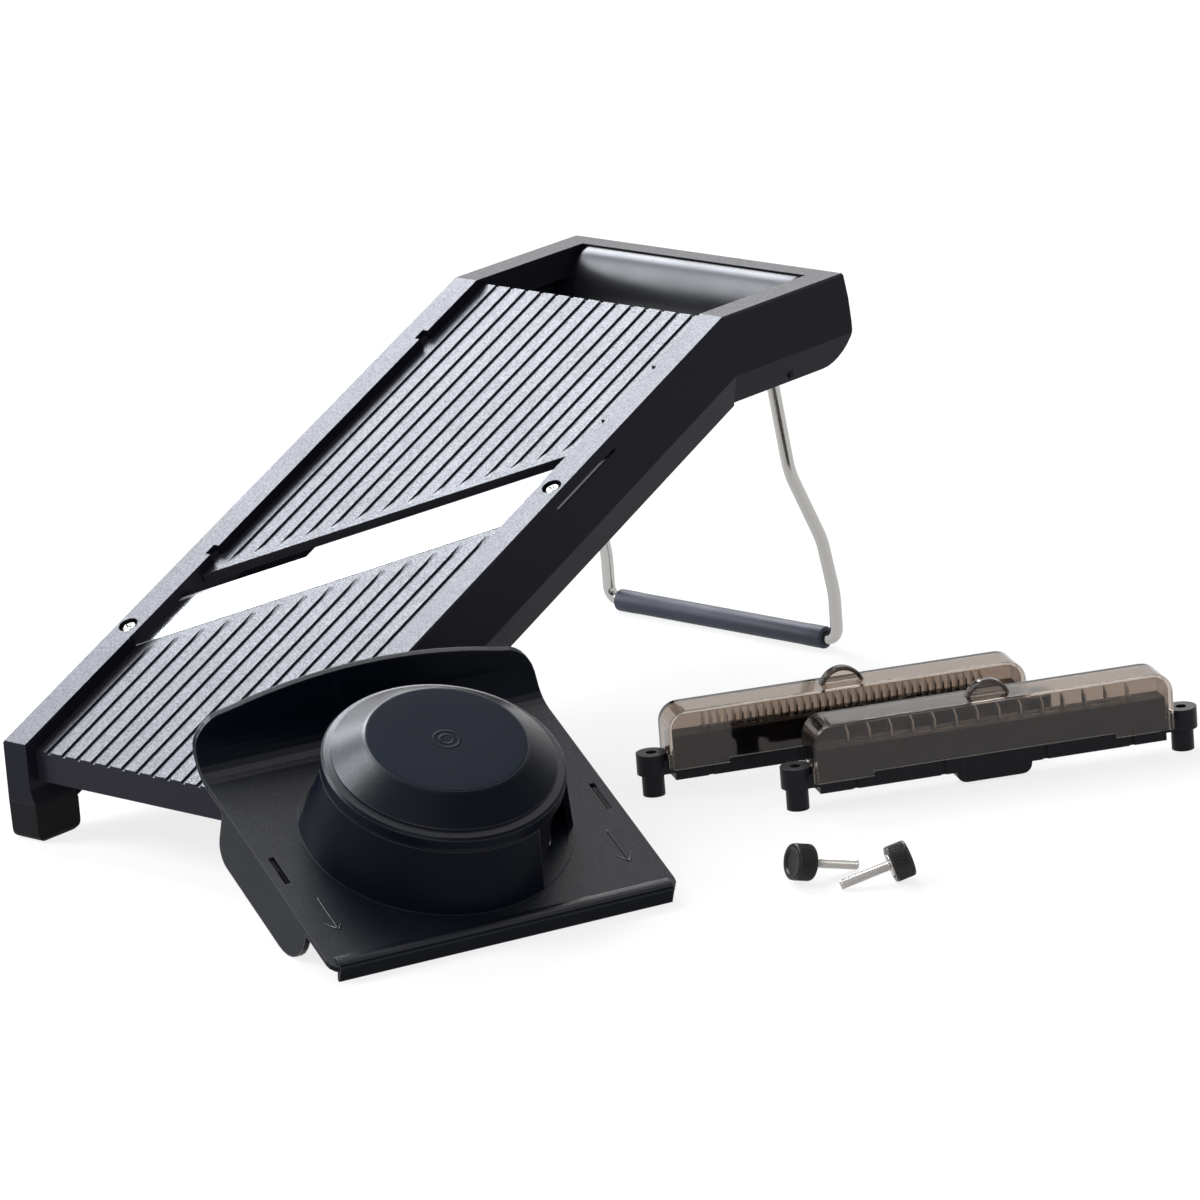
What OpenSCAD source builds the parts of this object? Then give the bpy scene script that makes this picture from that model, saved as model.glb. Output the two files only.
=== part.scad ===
// Mandoline slicer set: slicer on its feet and folding wire stand, hand guard,
// two comb blade cassettes with covers, and two thumb screws.
// Millimetres, +Z up, all pieces in the places where they stand on the table.

/* [Slicer frame] */
// Width over both rails
frame_w = 148; // [130:1:170]
// Height of the rails' top face above the table at the front end
front_h = 41; // [36:0.5:50]
// Length of the sloping deck, front end to bend
deck_len = 305; // [290:1:330]
// Slope of the deck in degrees
deck_tilt = 23.5; // [21:0.5:26]
// Length of the level handle section behind the bend
handle_len = 76; // [70:1:90]
// Width of each rail's top face
rail_w = 12.5; // [11:0.5:15]
// Height of the rails' side wall, square to the deck
rail_h = 40; // [38:0.5:46]
// Depth at which the side wall starts to lean inwards
facet_h = 26; // [20:0.5:30]
// How far the lower edge of the side wall stands in
facet_in = 5; // [3:0.5:5]
// Moulded wall thickness
wall_t = 2.6; // [2:0.1:3]
// Thickness of the rails' top face
rail_top_t = 3; // [2.4:0.2:3.6]
// Depth of the short inner wall of each rail
skirt_h = 12; // [11:0.5:14]
// Thickness of the short inner wall
skirt_t = 2; // [1.6:0.1:2.4]
// Small chamfer on the rails' outer top edge
edge_c = 0.8; // [0.3:0.1:1.2]

/* [Feet] */
// Depth of the front legs, front to back
leg_y = 22.5; // [18:0.5:28]
// Width of the front legs where they enter the feet
leg_foot_w = 15; // [14:0.5:18]
// Height of the rubber feet
foot_h = 16; // [12:0.5:20]
// Rubber thickness round the leg's peg
foot_wall = 2.2; // [1.6:0.2:3]
// Rounding of the feet's lower edges
foot_r = 4; // [2:0.5:6]

/* [Handle] */
// Width of the flat rim on top of the handle bar
rim_w = 9.2; // [7:0.2:12]
// Bulge radius of the grip's inner face
grip_r = 15.5; // [13:0.5:18]
// Radius of the handle's lower rear corner
heel_r = 15; // [10:0.5:18]
// How far the end face bulges out behind the rim
heel_out = 3.6; // [2:0.2:6]

/* [Tables] */
// Depth of the feed table's face below the rails, at rest
feed_d = 4; // [3.6:0.1:4.6]
// Depth of the lower table's face below the rails
lower_d = 5.2; // [5:0.1:6]
// Plate thickness of both tables
table_t = 3; // [2.6:0.1:3.4]
// Gap between a table's side and the rail
table_gap = 0.5; // [0.3:0.1:0.8]
// Number of grooves on each table
groove_n = 14; // [8:1:16]
// Spacing of the grooves
groove_pitch = 8.3; // [6:0.1:8.6]
// Width of a groove
groove_w = 2.2; // [1:0.1:3]
// Depth of a groove
groove_d = 0.8; // [0.4:0.1:1]
// Height of the lower table's front face
front_bar_h = 13; // [10:0.5:15]
// How far the lower table's front face stands behind the legs
front_bar_in = 5; // [3:0.5:8]

/* [Main blade] */
// Angle of the blade across the deck in degrees
blade_a = 41; // [36:0.5:44]
// Where the blade's middle crosses the deck's middle, from the front end
blade_s = 138.8; // [130:0.5:146]
// Width of the blade
blade_w = 24.4; // [22:0.2:26]
// Thickness of the blade
blade_t = 1.2; // [1:0.1:1.3]
// Depth of the blade's upper face below the rails
blade_d = 5; // [4.8:0.1:5.4]
// Width of the ground bevel along the cutting edge
bevel_w = 3.2; // [2:0.2:5]
// Gap between the cutting edge and the feed table
throat_w = 8.2; // [7:0.2:9]
// Clearance round the blade in its slot
blade_gap = 0.1; // [0.05:0.05:0.3]
// Blade screw thread radius
blade_screw_r = 1.5; // [1.2:0.1:1.7]
// Blade screw head radius
blade_head_r = 3; // [2.6:0.1:3.4]

/* [Thickness mechanism] */
// How far the feed table goes down
lift = 7; // [5:0.5:7]
// Distance of the thickness screw from the front end
dial_s = 250; // [244:1:262]
// Radius of the thickness dial
dial_r = 14; // [12:0.5:17]
// Height of the thickness dial
dial_h = 9; // [7:0.5:10]
// Radius of the lead screw
lead_r = 3.5; // [3:0.1:4]
// Running clearance of shafts and pins in their bores
run_c = 0.05; // [0.02:0.01:0.09]

/* [Stand] */
// Radius of the stand wire
wire_r = 2.7; // [2.4:0.1:2.7]
// Outer radius of the rubber sleeve
sleeve_r = 4.75; // [4.2:0.05:5.5]
// Distance of a stand leg's middle inside the frame's outer side
leg_in = 10.5; // [10.4:0.1:11.5]
// Radius of the two bends beside the sleeve
toe_r = 5.5; // [5:0.1:8]
// Stand pivot, distance behind the bend
pivot_back = 36.8; // [34:0.2:38]
// Stand pivot, depth below the handle's top face
pivot_down = 24.6; // [23:0.2:26]
// Upper bend of a stand leg, distance behind the pivot
knee_y = 9; // [7:0.5:11]
// Upper bend of a stand leg, height above the table
knee_z = 84; // [78:1:90]
// Lower bend of a stand leg, distance behind the pivot
shin_y = 26.5; // [23:0.5:29]
// Lower bend of a stand leg, height above the table
shin_z = 50; // [46:1:56]
// Distance of the sleeve behind the pivot
stand_reach = 32; // [30:0.5:36]
// Height at which a stand leg turns upright
ankle_z = 25; // [20:1:28]
// Radius of the bends in the stand legs
leg_bend_r = 36; // [20:1:40]

/* [Cassettes] */
// Distance of a cassette's posts inside the frame's outer sides, under the deck
post_in = 13.85; // [13.6:0.05:14.4]
// Radius of a post
post_r = 4.5; // [4:0.1:5]
// Height of a post's lower, thinner part
post_h = 9; // [7:0.5:11]
// Radius of the ear round a post's head
ear_r = 6.2; // [5.8:0.1:7]
// Height of the ear's top face
ear_h = 17.5; // [16:0.5:19]
// Radius of the screw bore through a post
post_bore_r = 2.2; // [2.1:0.05:2.4]
// Width of the holder bar
holder_w = 10; // [9:0.2:11]
// Height of the holder bar's top face
holder_h = 24; // [22:0.5:26]
// Height of the holder bar's underside
holder_low = 6; // [4:0.5:8]
// Distance of a cover's ends inside the posts' middles
cover_in = 5.7; // [5.2:0.1:6.4]
// Width of the cover
cover_w = 16; // [15:0.2:18]
// Height of the cover's top face
cover_h = 35; // [34:0.5:38]
// Wall thickness of the cover
cover_t = 1.5; // [1.2:0.1:1.8]
// Height of the cover's lower edge
cover_low = 11; // [10:0.5:13]
// Rounding of the cover's upper corners
cover_r = 8; // [5:0.5:10]
// Spacing of the coarse teeth
coarse_pitch = 8.9; // [7:0.1:10]
// Spacing of the fine teeth
fine_pitch = 3.2; // [2.8:0.1:4]
// Height of the teeth above the holder
tooth_h = 6.5; // [4:0.5:8]
// Thickness of a tooth
tooth_t = 0.7; // [0.5:0.1:0.9]

/* [Thumb screws] */
// Radius of the knurled head
knob_r = 7.3; // [6.5:0.1:8]
// Thickness of the knurled head
knob_h = 8; // [6:0.5:9]
// Radius of the screw's shank
shank_r = 2; // [1.9:0.05:2.05]
// Length of the shank
shank_len = 20.5; // [20:0.5:24]

/* [Hand guard] */
// Width of the guard's plate
guard_w = 146; // [140:1:150]
// Length of the guard's plate
guard_l = 126; // [120:1:132]
// Thickness of the guard's walls
guard_t = 2.4; // [2:0.1:3]
// Depth of the side skirts
guard_skirt = 23.5; // [20:0.5:23.5]
// Radius of the collar at the plate
collar_r = 53; // [51:0.5:55]
// Radius of the collar at its top
collar_top_r = 47; // [46:0.5:48]
// Height of the collar
collar_h = 26; // [22:0.5:28]
// Width of each finger gap in the collar in degrees
finger_a = 44; // [30:1:50]
// Radius of the pusher cap's rim
cap_r = 46.8; // [46:0.2:48]
// Radius of the pusher cap's sleeve inside the collar
cap_in_r = 43.6; // [43:0.1:44]
// Radius of the flat disc on top of the cap
disc_r = 31; // [28:0.5:33]
// Height of the cap's top above the plate
cap_h = 42; // [40:0.5:44]
// Lean of the guard as it stands in degrees
guard_lean = 23.3; // [22:0.1:24]

/* [Hidden] */
$fn = 48;

black = "#24242a";
tin = "#c9ccd0";
smoke = "#6b5a4cb0";

eps = 0.01;
foot_side = 0.4;
leg_flare_h = 6;
// How far the leg's inner face stands in from the rail's
leg_step = 0.2;
big = 600;
half_w = frame_w / 2;
inner_x = half_w - rail_w;
rest_gap = 0.2;

bend_y = deck_len * cos(deck_tilt);
bend_z = front_h + deck_len * sin(deck_tilt);
end_y = bend_y + handle_len;
handle_low_z = bend_z - rail_h + 1.5;

// The guard leans on the right rail: how far the middle of its back edge stands outside the rail, and
// how far the rail's top there is above that edge's rise
guard_out = 5.15;
guard_rest = 12.76;
// The places of the other loose pieces on the table: the cassettes' middles, and the heads of the
// thumb screws with the directions of their shanks
guard_yaw = 68.4;
coarse_at = [225.5, 248.2];
fine_at = [163.3, 233.5];
cassette_yaw = 56.2;
screw_a = [239.2, 115.1, 67];
screw_b = [271.9, 134.6, -125.6];
plate_r = 6;
// How far the slots in the guard's sides stand in from its edges
grip_slot_in = 5;
guard_reach = guard_l * cos(guard_lean);
guard_rise = guard_l * sin(guard_lean);
// Middle of the guard's front edge
guard_at = [half_w + guard_out + guard_reach * sin(guard_yaw),
            (guard_rise + guard_rest - front_h) / tan(deck_tilt) - guard_reach * cos(guard_yaw)];

// Chamfer on a thumb screw's head
knob_c = 0.8;
// A thumb screw lies on its head's rim and its tip
screw_lean = atan((knob_r - shank_r) / shank_len);

// Origin in the middle of the set's footprint: the frame's left side, the right head's rim,
// the guard's front corner and the handle's end are the outermost points
function disc_reach(r, along) = r * sqrt(1 - along * along);
screw_axis_x = cos(screw_b[2]) * cos(screw_lean);
right_x = screw_b[0] + abs(screw_axis_x) * (knob_h / 2 - knob_c) + disc_reach(knob_r, screw_axis_x);
corner_reach = plate_r * norm([sin(guard_yaw), cos(guard_yaw) * cos(guard_lean)]);
guard_front_y = guard_at[1] - (guard_w / 2 - plate_r) * sin(guard_yaw)
    + plate_r * cos(guard_yaw) * cos(guard_lean) - corner_reach;
set_mid_x = (right_x - half_w) / 2;
set_mid_y = (end_y + heel_out + guard_front_y) / 2;

function arc(cx, cy, r, a0, a1, n = 8) =
    [for (i = [0:n]) [cx + r * cos(a0 + (a1 - a0) * i / n), cy + r * sin(a0 + (a1 - a0) * i / n)]];

// ---- Places ----

module set_frame() { translate([-set_mid_x, -set_mid_y, 0]) children(); }

// Deck frame: y runs up the deck from the front end, z is square to it, 0 on the rails' top
module on_deck() {
    set_frame() translate([0, 0, front_h]) rotate([deck_tilt, 0, 0]) children();
}

// Blade frame inside the deck frame: x along the blade, y upstream
module along_blade() { translate([0, blade_s, 0]) rotate([0, 0, blade_a]) children(); }

// Extrudes a shape drawn in (x, z) along y, from y = 0
module run(len) { rotate([90, 0, 0]) translate([0, 0, -len]) linear_extrude(len) children(); }

// Extrudes a shape drawn in (y, z) along x
module across(x0, x1) { translate([x0, 0, 0]) rotate([90, 0, 90]) linear_extrude(x1 - x0) children(); }

// A slab of the deck frame between two depths, from a shape drawn in (x, s)
module slab(d0, d1) { translate([0, 0, -d1]) linear_extrude(d1 - d0) children(); }

module both_sides() {
    children();
    mirror([1, 0, 0]) children();
}

// ---- Frame ----

module rail_2d() {
    polygon([[inner_x, 0], [half_w - edge_c, 0], [half_w, -edge_c], [half_w, -facet_h],
             [half_w - facet_in, -rail_h], [half_w - facet_in - wall_t, -rail_h],
             [half_w - wall_t, -facet_h + wall_t * 0.2], [half_w - wall_t, -rail_top_t],
             [inner_x + skirt_t, -rail_top_t], [inner_x + skirt_t, -skirt_h],
             [inner_x, -skirt_h]]);
}

module envelope_2d() {
    polygon([[-half_w + edge_c, 0], [half_w - edge_c, 0], [half_w, -edge_c], [half_w, -facet_h],
             [half_w - facet_in, -rail_h], [-half_w + facet_in, -rail_h],
             [-half_w, -facet_h], [-half_w, -edge_c]]);
}

module front_of_bend() {
    intersection() {
        translate([0, bend_y, bend_z]) rotate([deck_tilt / 2, 0, 0])
            translate([-big / 2, -big, -big / 2]) cube(big);
        translate([-big / 2, 0, -big / 2]) cube(big);
    }
}

module behind_bend() {
    translate([0, bend_y, bend_z]) rotate([deck_tilt / 2, 0, 0])
        translate([-big / 2, 0, -big / 2]) cube(big);
}

// Side view of the handle section, with its bulging end and round heel
module handle_side_2d() {
    heel_y = end_y + heel_out - heel_r;
    heel_z = handle_low_z + heel_r;
    polygon(concat([[bend_y - 60, bend_z + 1], [end_y, bend_z + 1], [end_y, bend_z]],
                   [[end_y + heel_out * 0.65, bend_z - 11]],
                   arc(heel_y, heel_z, heel_r, 8, -90),
                   [[bend_y - 60, handle_low_z]]));
}

// Where the grip's bulge begins and ends, in degrees round its middle
grip_from = 108;
grip_to = 232;

// Section of the handle bar; inset shrinks it to the hollow inside
module grip_2d(inset = 0) {
    cy = end_y - rim_w + 5.5;
    cz = bend_z - 18;
    intersection() {
        polygon(concat([[end_y + 10, bend_z - inset], [end_y - rim_w + inset, bend_z - inset]],
                       arc(cy, cz, grip_r - inset, grip_from, grip_to, 12),
                       [[cy - 8 + inset, handle_low_z - inset], [end_y + 10, handle_low_z - inset]]));
        translate([-inset, 0]) handle_side_2d();
    }
}

module rails() {
    both_sides() {
        intersection() {
            translate([0, 0, front_h]) rotate([deck_tilt, 0, 0]) translate([0, -30, 0])
                run(deck_len + 60) rail_2d();
            front_of_bend();
        }
        intersection() {
            translate([0, bend_y - 30, bend_z]) run(handle_len + 60) rail_2d();
            behind_bend();
            across(0, half_w) handle_side_2d();
        }
    }
}

// The handle bar is a shell, open underneath along a slot
grip_slot_w = 8;
module handle_bar() {
    difference() {
        intersection() {
            across(-half_w, half_w) difference() {
                grip_2d();
                grip_2d(wall_t);
            }
            translate([0, bend_y - 30, bend_z]) run(handle_len + 60) envelope_2d();
        }
        translate([-inner_x + 8, end_y - rim_w, handle_low_z - 1])
            cube([2 * inner_x - 16, grip_slot_w, rail_h / 3]);
    }
}

// Front leg with the peg that the rubber foot is pushed on
module leg() {
    intersection() {
        translate([0, 0, foot_h]) run(leg_y)
            polygon([[half_w, 0], [half_w, 60], [inner_x - leg_step, 60], [inner_x - leg_step, leg_flare_h],
                     [half_w - leg_foot_w, 0]]);
        across(0, half_w) polygon([[0, 0], [0, front_h - edge_c], [leg_y, front_h + leg_y * tan(deck_tilt) - edge_c],
                                   [leg_y, 0]]);
    }
    translate([half_w - leg_foot_w + foot_wall, foot_wall, foot_wall + 1])
        cube([leg_foot_w - 2 * foot_wall, leg_y - 2 * foot_wall, foot_h - foot_wall - 1 + eps]);
}

// Blocks inside the rails that hold the blade's ends and its screws
module blade_seats() {
    intersection() {
        slab(eps, seat_d1) along_blade()
            translate([0, -1]) square([big / 2, blade_w + 8], center = true);
        both_sides() slab(-1, 30) translate([inner_x, 0]) square([rail_w - 1, big / 2]);
    }
}

// Slot for the blade, open through the right rail's outer wall
module blade_slot() {
    slab(blade_d - blade_gap, blade_d + blade_t + blade_gap) intersection() {
        along_blade() square([big, blade_w + 2 * blade_gap], center = true);
        translate([-half_w + 3, 0]) square([frame_w + 10, big]);
    }
    slab(blade_d - 0.2, blade_d + blade_t + 0.3) intersection() {
        along_blade() translate([-big / 2, -blade_w / 2 - 1]) square([big, blade_w + 6]);
        translate([half_w - wall_t, 0]) square([wall_t + 10, big]);
    }
}

cassette_y = blade_w / 2 - 2.5;
cassette_x = cassette_y * tan(blade_a);
// The posts stand under the rails when a cassette is fixed along the blade
post_gap = 2 * (half_w - post_in) / cos(blade_a);
cover_len = post_gap - 2 * cover_in;
insert_r = 2.8;
insert_d0 = blade_d + blade_t + 1.4;
seat_d1 = blade_d + blade_t + 5.8;
boss_d1 = seat_d1 + 1.2;
boss_r = 5.5;

// Places of the two cassette screws in the deck frame
module at_cassette_screws() {
    for (side = [-1, 1])
        along_blade() translate([cassette_x + side * post_gap / 2, cassette_y, 0]) children();
}

screw_in = 6;
function blade_line_s(x, y) = blade_s + x * tan(blade_a) + y / cos(blade_a);

// Places of the two blade screws, near the blade's rear edge, in the rails' middle
module at_blade_screws() {
    for (side = [-1, 1])
        translate([side * (half_w - screw_in), blade_line_s(side * (half_w - screw_in), -4), 0])
            children();
}

cup_d0 = 18.5;
cup_floor_d = 25.2;
cup_t = 3.4;
cup_d1 = cup_floor_d + cup_t;
cup_in_r = 8.2;
cup_r = cup_in_r + wall_t;
arm_h = 5;
arm_w = 14;

// Cross bar under the feed table, with the cup that carries the lead screw
module screw_bridge() {
    slab(cup_d0, cup_d0 + arm_h) translate([-half_w + wall_t / 2, dial_s - arm_w / 2])
        square([frame_w - wall_t, arm_w]);
    slab(cup_d0, cup_d1) translate([0, dial_s]) circle(cup_r);
}

tab_l = 5;
tab_out = 2.2;
tab_t = table_t;
left_tabs = [124, 267.5];
right_tabs = [232, 267.5];

module at_tabs() {
    for (s = left_tabs) translate([-inner_x, s, 0]) mirror([1, 0, 0]) children();
    for (s = right_tabs) translate([inner_x, s, 0]) children();
}

pivot_y = bend_y + pivot_back;
pivot_z = bend_z - pivot_down;
pivot_boss_r = wire_r + 2.3;
leg_x = half_w - leg_in;
pivot_boss_x = leg_x + wire_r + 0.5;
pin_end_x = half_w - 1.8;
// Stop that the leg's upper part rests against
stop_low = 12;
stop_h = 8;
leg_slope = atan(knee_y / (pivot_z - knee_z));
stop_y = pivot_y + stop_low * tan(leg_slope) + wire_r / cos(leg_slope) + rest_gap;

ledge_w = 3;
ledge_t = 2;
ledge_d = lower_d + table_t + 0.1;

module frame() {
    color(black) set_frame() {
        difference() {
            union() {
                difference() {
                    rails();
                    both_sides() translate([half_w - leg_foot_w - 1, -1, -big])
                        cube([leg_foot_w + 2, leg_y + 1 + foot_side + 1, big + foot_h]);
                }
                handle_bar();
                both_sides() leg();
                translate([0, 0, front_h]) rotate([deck_tilt, 0, 0]) {
                    blade_seats();
                    at_cassette_screws() slab(blade_d + blade_t + blade_gap, boss_d1) circle(boss_r);
                    screw_bridge();
                    // cross wall under the bend
                    slab(8, 27) translate([-half_w + wall_t / 2, deck_len + 3.8])
                        square([frame_w - wall_t, wall_t]);
                    // ledges under the lower table
                    intersection() {
                        both_sides() slab(ledge_d, ledge_d + ledge_t)
                            translate([inner_x - ledge_w, 10]) square([ledge_w + 1, big / 2]);
                        slab(0, 30) along_blade() translate([-big / 2, -big - blade_w / 2 - 2]) square(big);
                    }
                }
                // bosses for the stand's pivots and the stops behind its legs
                both_sides() {
                    translate([pivot_boss_x, pivot_y, pivot_z]) rotate([0, 90, 0])
                        cylinder(r = pivot_boss_r, h = half_w - wall_t - pivot_boss_x + eps);
                    translate([leg_x - 2, stop_y, pivot_z - stop_low])
                        cube([half_w - wall_t - leg_x + 2 + eps, 2.2, stop_h]);
                }
            }
            both_sides() translate([pivot_boss_x - 1, pivot_y, pivot_z]) rotate([0, 90, 0])
                cylinder(r = wire_r + run_c, h = pin_end_x + 0.3 - pivot_boss_x + 1);
            translate([0, 0, front_h]) rotate([deck_tilt, 0, 0]) {
                blade_slot();
                // room for the tables next to the bosses
                at_tabs() translate([-0.1, -tab_l / 2 - 0.4, -skirt_h - 1])
                    cube([tab_out + 0.6, tab_l + 0.8, skirt_h + 2]);
                at_blade_screws() {
                    translate([0, 0, -2.4]) cylinder(r = blade_head_r + 1.1, h = 4);
                    translate([0, 0, -blade_d - blade_t - 6.5]) cylinder(r = blade_screw_r + 0.1, h = 20);
                }
                at_cassette_screws() translate([0, 0, -boss_d1 - 1])
                    cylinder(r = insert_r + 0.05, h = boss_d1 + 1 - insert_d0);
                translate([0, dial_s, -cup_floor_d]) cylinder(r = cup_in_r, h = cup_floor_d - cup_d0 + 1);
                translate([0, dial_s, -cup_d1 - 1]) cylinder(r = lead_r + run_c, h = cup_t + 2);
            }
        }
    }
}

// ---- Tables ----

table_x = inner_x - table_gap;
groove_span = (groove_n - 1) * groove_pitch;
ramp = 7;

// One groove as seen from the side: flat floor with a ramp up at its upper and lower ends
module groove(s0, s1, ramp0, ramp1) {
    across(-groove_w / 2, groove_w / 2)
        polygon([[s0, 1], [s0, ramp0 > 0 ? 0 : -groove_d], [s0 + ramp0, -groove_d],
                 [s1 - ramp1, -groove_d], [s1, ramp1 > 0 ? 0 : -groove_d], [s1, 1]]);
}

lower_edge_y = -blade_w / 2 - 0.3;
ledge_under = 8;

module lower_table() {
    color(black) difference() {
        union() {
            intersection() {
                on_deck() slab(lower_d, lower_d + table_t) intersection() {
                    translate([-table_x, 0]) square([2 * table_x, big]);
                    along_blade() translate([-big / 2, lower_edge_y - big]) square(big);
                }
                set_frame() translate([-big / 2, front_bar_in, -big / 2]) cube(big);
            }
            // tongue that carries the blade's rear part
            on_deck() slab(blade_d + blade_t + 0.1, lower_d + table_t) intersection() {
                translate([-table_x + 0.5, 0]) square([2 * table_x - 1, big]);
                along_blade() translate([-post_gap / 2 + 2, lower_edge_y - 4])
                    square([post_gap - 4, ledge_under + 4]);
            }
            // front face and the ribs behind it
            set_frame() {
                top_z = front_h + front_bar_in * tan(deck_tilt) - (lower_d + table_t / 2) / cos(deck_tilt);
                across(-table_x, table_x)
                    polygon([[front_bar_in, top_z - front_bar_h + 2], [front_bar_in + wall_t, top_z - front_bar_h + 2],
                             [front_bar_in + wall_t, top_z + 1], [front_bar_in, top_z]]);
            }
            on_deck() for (i = [-1, 0, 1])
                slab(lower_d + table_t - eps, lower_d + table_t + 5) intersection() {
                    translate([i * 36 - 1, 12]) square([2, big / 2]);
                    along_blade() translate([-big / 2, lower_edge_y - big - 3]) square(big);
                }
        }
        on_deck() for (i = [0:groove_n - 1]) {
            x = -groove_span / 2 + i * groove_pitch;
            translate([x, 0, -lower_d])
                groove(-20, blade_line_s(x, lower_edge_y) - 5, 0, ramp);
        }
    }
}

feed_edge_y = blade_w / 2 + throat_w;
feed_top_s = deck_len + 3;
feed_boss_r = 7;
feed_boss_d1 = 16.3;
lead_top_d = feed_d + table_t + lift + 0.3;

module feed_table() {
    color(black) on_deck() difference() {
        union() {
            slab(feed_d, feed_d + table_t) intersection() {
                translate([-table_x, 0]) square([2 * table_x, feed_top_s]);
                along_blade() translate([-big / 2, feed_edge_y]) square(big);
            }
            // stiff lip along the throat
            slab(feed_d + table_t - eps, feed_d + table_t + 1.2) intersection() {
                translate([-table_x, 0]) square([2 * table_x, feed_top_s]);
                along_blade() translate([-big / 2, feed_edge_y]) square([big, 3]);
            }
            at_tabs() translate([-table_gap - eps, -tab_l / 2, -feed_d - tab_t])
                cube([tab_out + table_gap, tab_l, tab_t]);
            for (i = [-1, 1])
                slab(feed_d + table_t - eps, feed_d + table_t + 3) intersection() {
                    translate([i * 34 - 1, 0]) square([2, feed_top_s - 6]);
                    along_blade() translate([-big / 2, feed_edge_y + 3]) square(big);
                }
            slab(feed_d + table_t - eps, feed_boss_d1) translate([0, dial_s]) circle(feed_boss_r);
        }
        translate([0, dial_s, -feed_boss_d1 - 1])
            cylinder(r = lead_r + run_c, h = feed_boss_d1 + 1 - feed_d - table_t);
        for (i = [0:groove_n - 1]) {
            x = -groove_span / 2 + i * groove_pitch;
            translate([x, 0, -feed_d])
                groove(blade_line_s(x, feed_edge_y) + 4, feed_top_s + 5, ramp, 0);
        }
    }
}

// ---- Blade and its screws ----

module main_blade() {
    color(tin) on_deck() difference() {
        intersection() {
            along_blade() translate([-big / 2, 0, -blade_d])
                across(0, big) polygon([[-blade_w / 2, 0], [blade_w / 2 - bevel_w, 0],
                                        [blade_w / 2, -blade_t + 0.25], [blade_w / 2, -blade_t],
                                        [-blade_w / 2, -blade_t]]);
            slab(0, 20) translate([-half_w + 3.4, 0]) square([frame_w - 3.8, big]);
        }
        at_blade_screws() translate([0, 0, -20]) cylinder(r = blade_screw_r + 0.2, h = 30);
    }
}

module blade_screws() {
    color(tin) on_deck() at_blade_screws() {
        translate([0, 0, -2.3]) difference() {
            union() {
                cylinder(r = blade_head_r, h = 1);
                translate([0, 0, 1]) cylinder(r1 = blade_head_r, r2 = blade_head_r - 0.9, h = 0.8, $fn = 32);
            }
            for (a = [0, 90]) rotate([0, 0, a]) translate([-1.8, -0.35, 0.9]) cube([3.6, 0.7, 2]);
        }
        translate([0, 0, -blade_d - blade_t - 5]) cylinder(r = blade_screw_r, h = blade_d + blade_t + 5 - 2.3 + eps);
    }
}

module thread_inserts() {
    color("#b08d4a") on_deck() at_cassette_screws() translate([0, 0, -boss_d1])
        difference() {
            cylinder(r = insert_r, h = boss_d1 - insert_d0 - 0.1);
            translate([0, 0, -1]) cylinder(r = 1.65, h = boss_d1);
        }
}

// ---- Feet ----

module foot() {
    socket = 0.1;
    color("#1c1c1e") difference() {
        intersection() {
            across(0, half_w + 1) polygon(concat(arc(foot_r + 0.4, foot_r, foot_r, 180, 270, 5),
                                             arc(leg_y + 1 - foot_r, foot_r, foot_r, 270, 360, 5),
                                             [[leg_y + 1, foot_h - 2.6], [leg_y, foot_h - 2.6],
                                              [leg_y, foot_h - 0.1], [0, foot_h - 0.1]]));
            translate([0, -1, 0]) run(leg_y + 4)
                polygon([[half_w - leg_foot_w + 1, 0], [half_w - 1, 0], [half_w, 1.5],
                         [half_w, foot_h], [half_w - leg_foot_w, foot_h],
                         [half_w - leg_foot_w, 1.5]]);
        }
        translate([half_w - leg_foot_w + foot_wall - socket, foot_wall - socket, foot_wall + 0.9])
            cube([leg_foot_w - 2 * foot_wall + 2 * socket, leg_y - 2 * foot_wall + 2 * socket, foot_h]);
    }
}

module foot_left() { set_frame() mirror([1, 0, 0]) foot(); }
module foot_right() { set_frame() foot(); }

// ---- Stand ----

sleeve_z = sleeve_r;
sleeve_len = 2 * (leg_x - toe_r);
// Bends are a hair thicker than the straight wire, which runs a little way into them
bent_r = wire_r + 0.02;
wire_lap = 0.3;
// A stand leg's corners in side view, from the pivot down
leg_corners = [[pivot_y, pivot_z], [pivot_y + knee_y, knee_z], [pivot_y + shin_y, shin_z],
               [pivot_y + stand_reach, ankle_z], [pivot_y + stand_reach, sleeve_z + toe_r]];

function unit(v) = v / norm(v);
// Angle turned at corner i of a path, and the length that its bend takes off each side
function turn_at(path, i) = (i <= 0 || i >= len(path) - 1) ? 0 :
    acos(unit(path[i] - path[i - 1]) * unit(path[i + 1] - path[i]));
function cut_at(path, i, r) = r * tan(turn_at(path, i) / 2);

// Wire along a path of corners drawn in (x, y), with round bends of radius r
module wire(path, r) {
    for (i = [0:len(path) - 2]) {
        d = unit(path[i + 1] - path[i]);
        from = path[i] + d * (cut_at(path, i, r) - wire_lap);
        len = norm(path[i + 1] - path[i]) - cut_at(path, i, r) - cut_at(path, i + 1, r) + 2 * wire_lap;
        translate(from) rotate([0, 0, atan2(d[1], d[0])]) rotate([0, 90, 0]) cylinder(r = wire_r, h = len);
    }
    for (i = [1:len(path) - 2]) {
        d = unit(path[i] - path[i - 1]);
        side = sign(cross(d, path[i + 1] - path[i]));
        start = path[i] - d * cut_at(path, i, r);
        centre = start + side * r * [-d[1], d[0]];
        from_angle = atan2(start[1] - centre[1], start[0] - centre[0]);
        translate(centre) rotate([0, 0, side > 0 ? from_angle : from_angle - turn_at(path, i)])
            rotate_extrude(angle = turn_at(path, i)) translate([r, 0]) circle(bent_r);
    }
}

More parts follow.
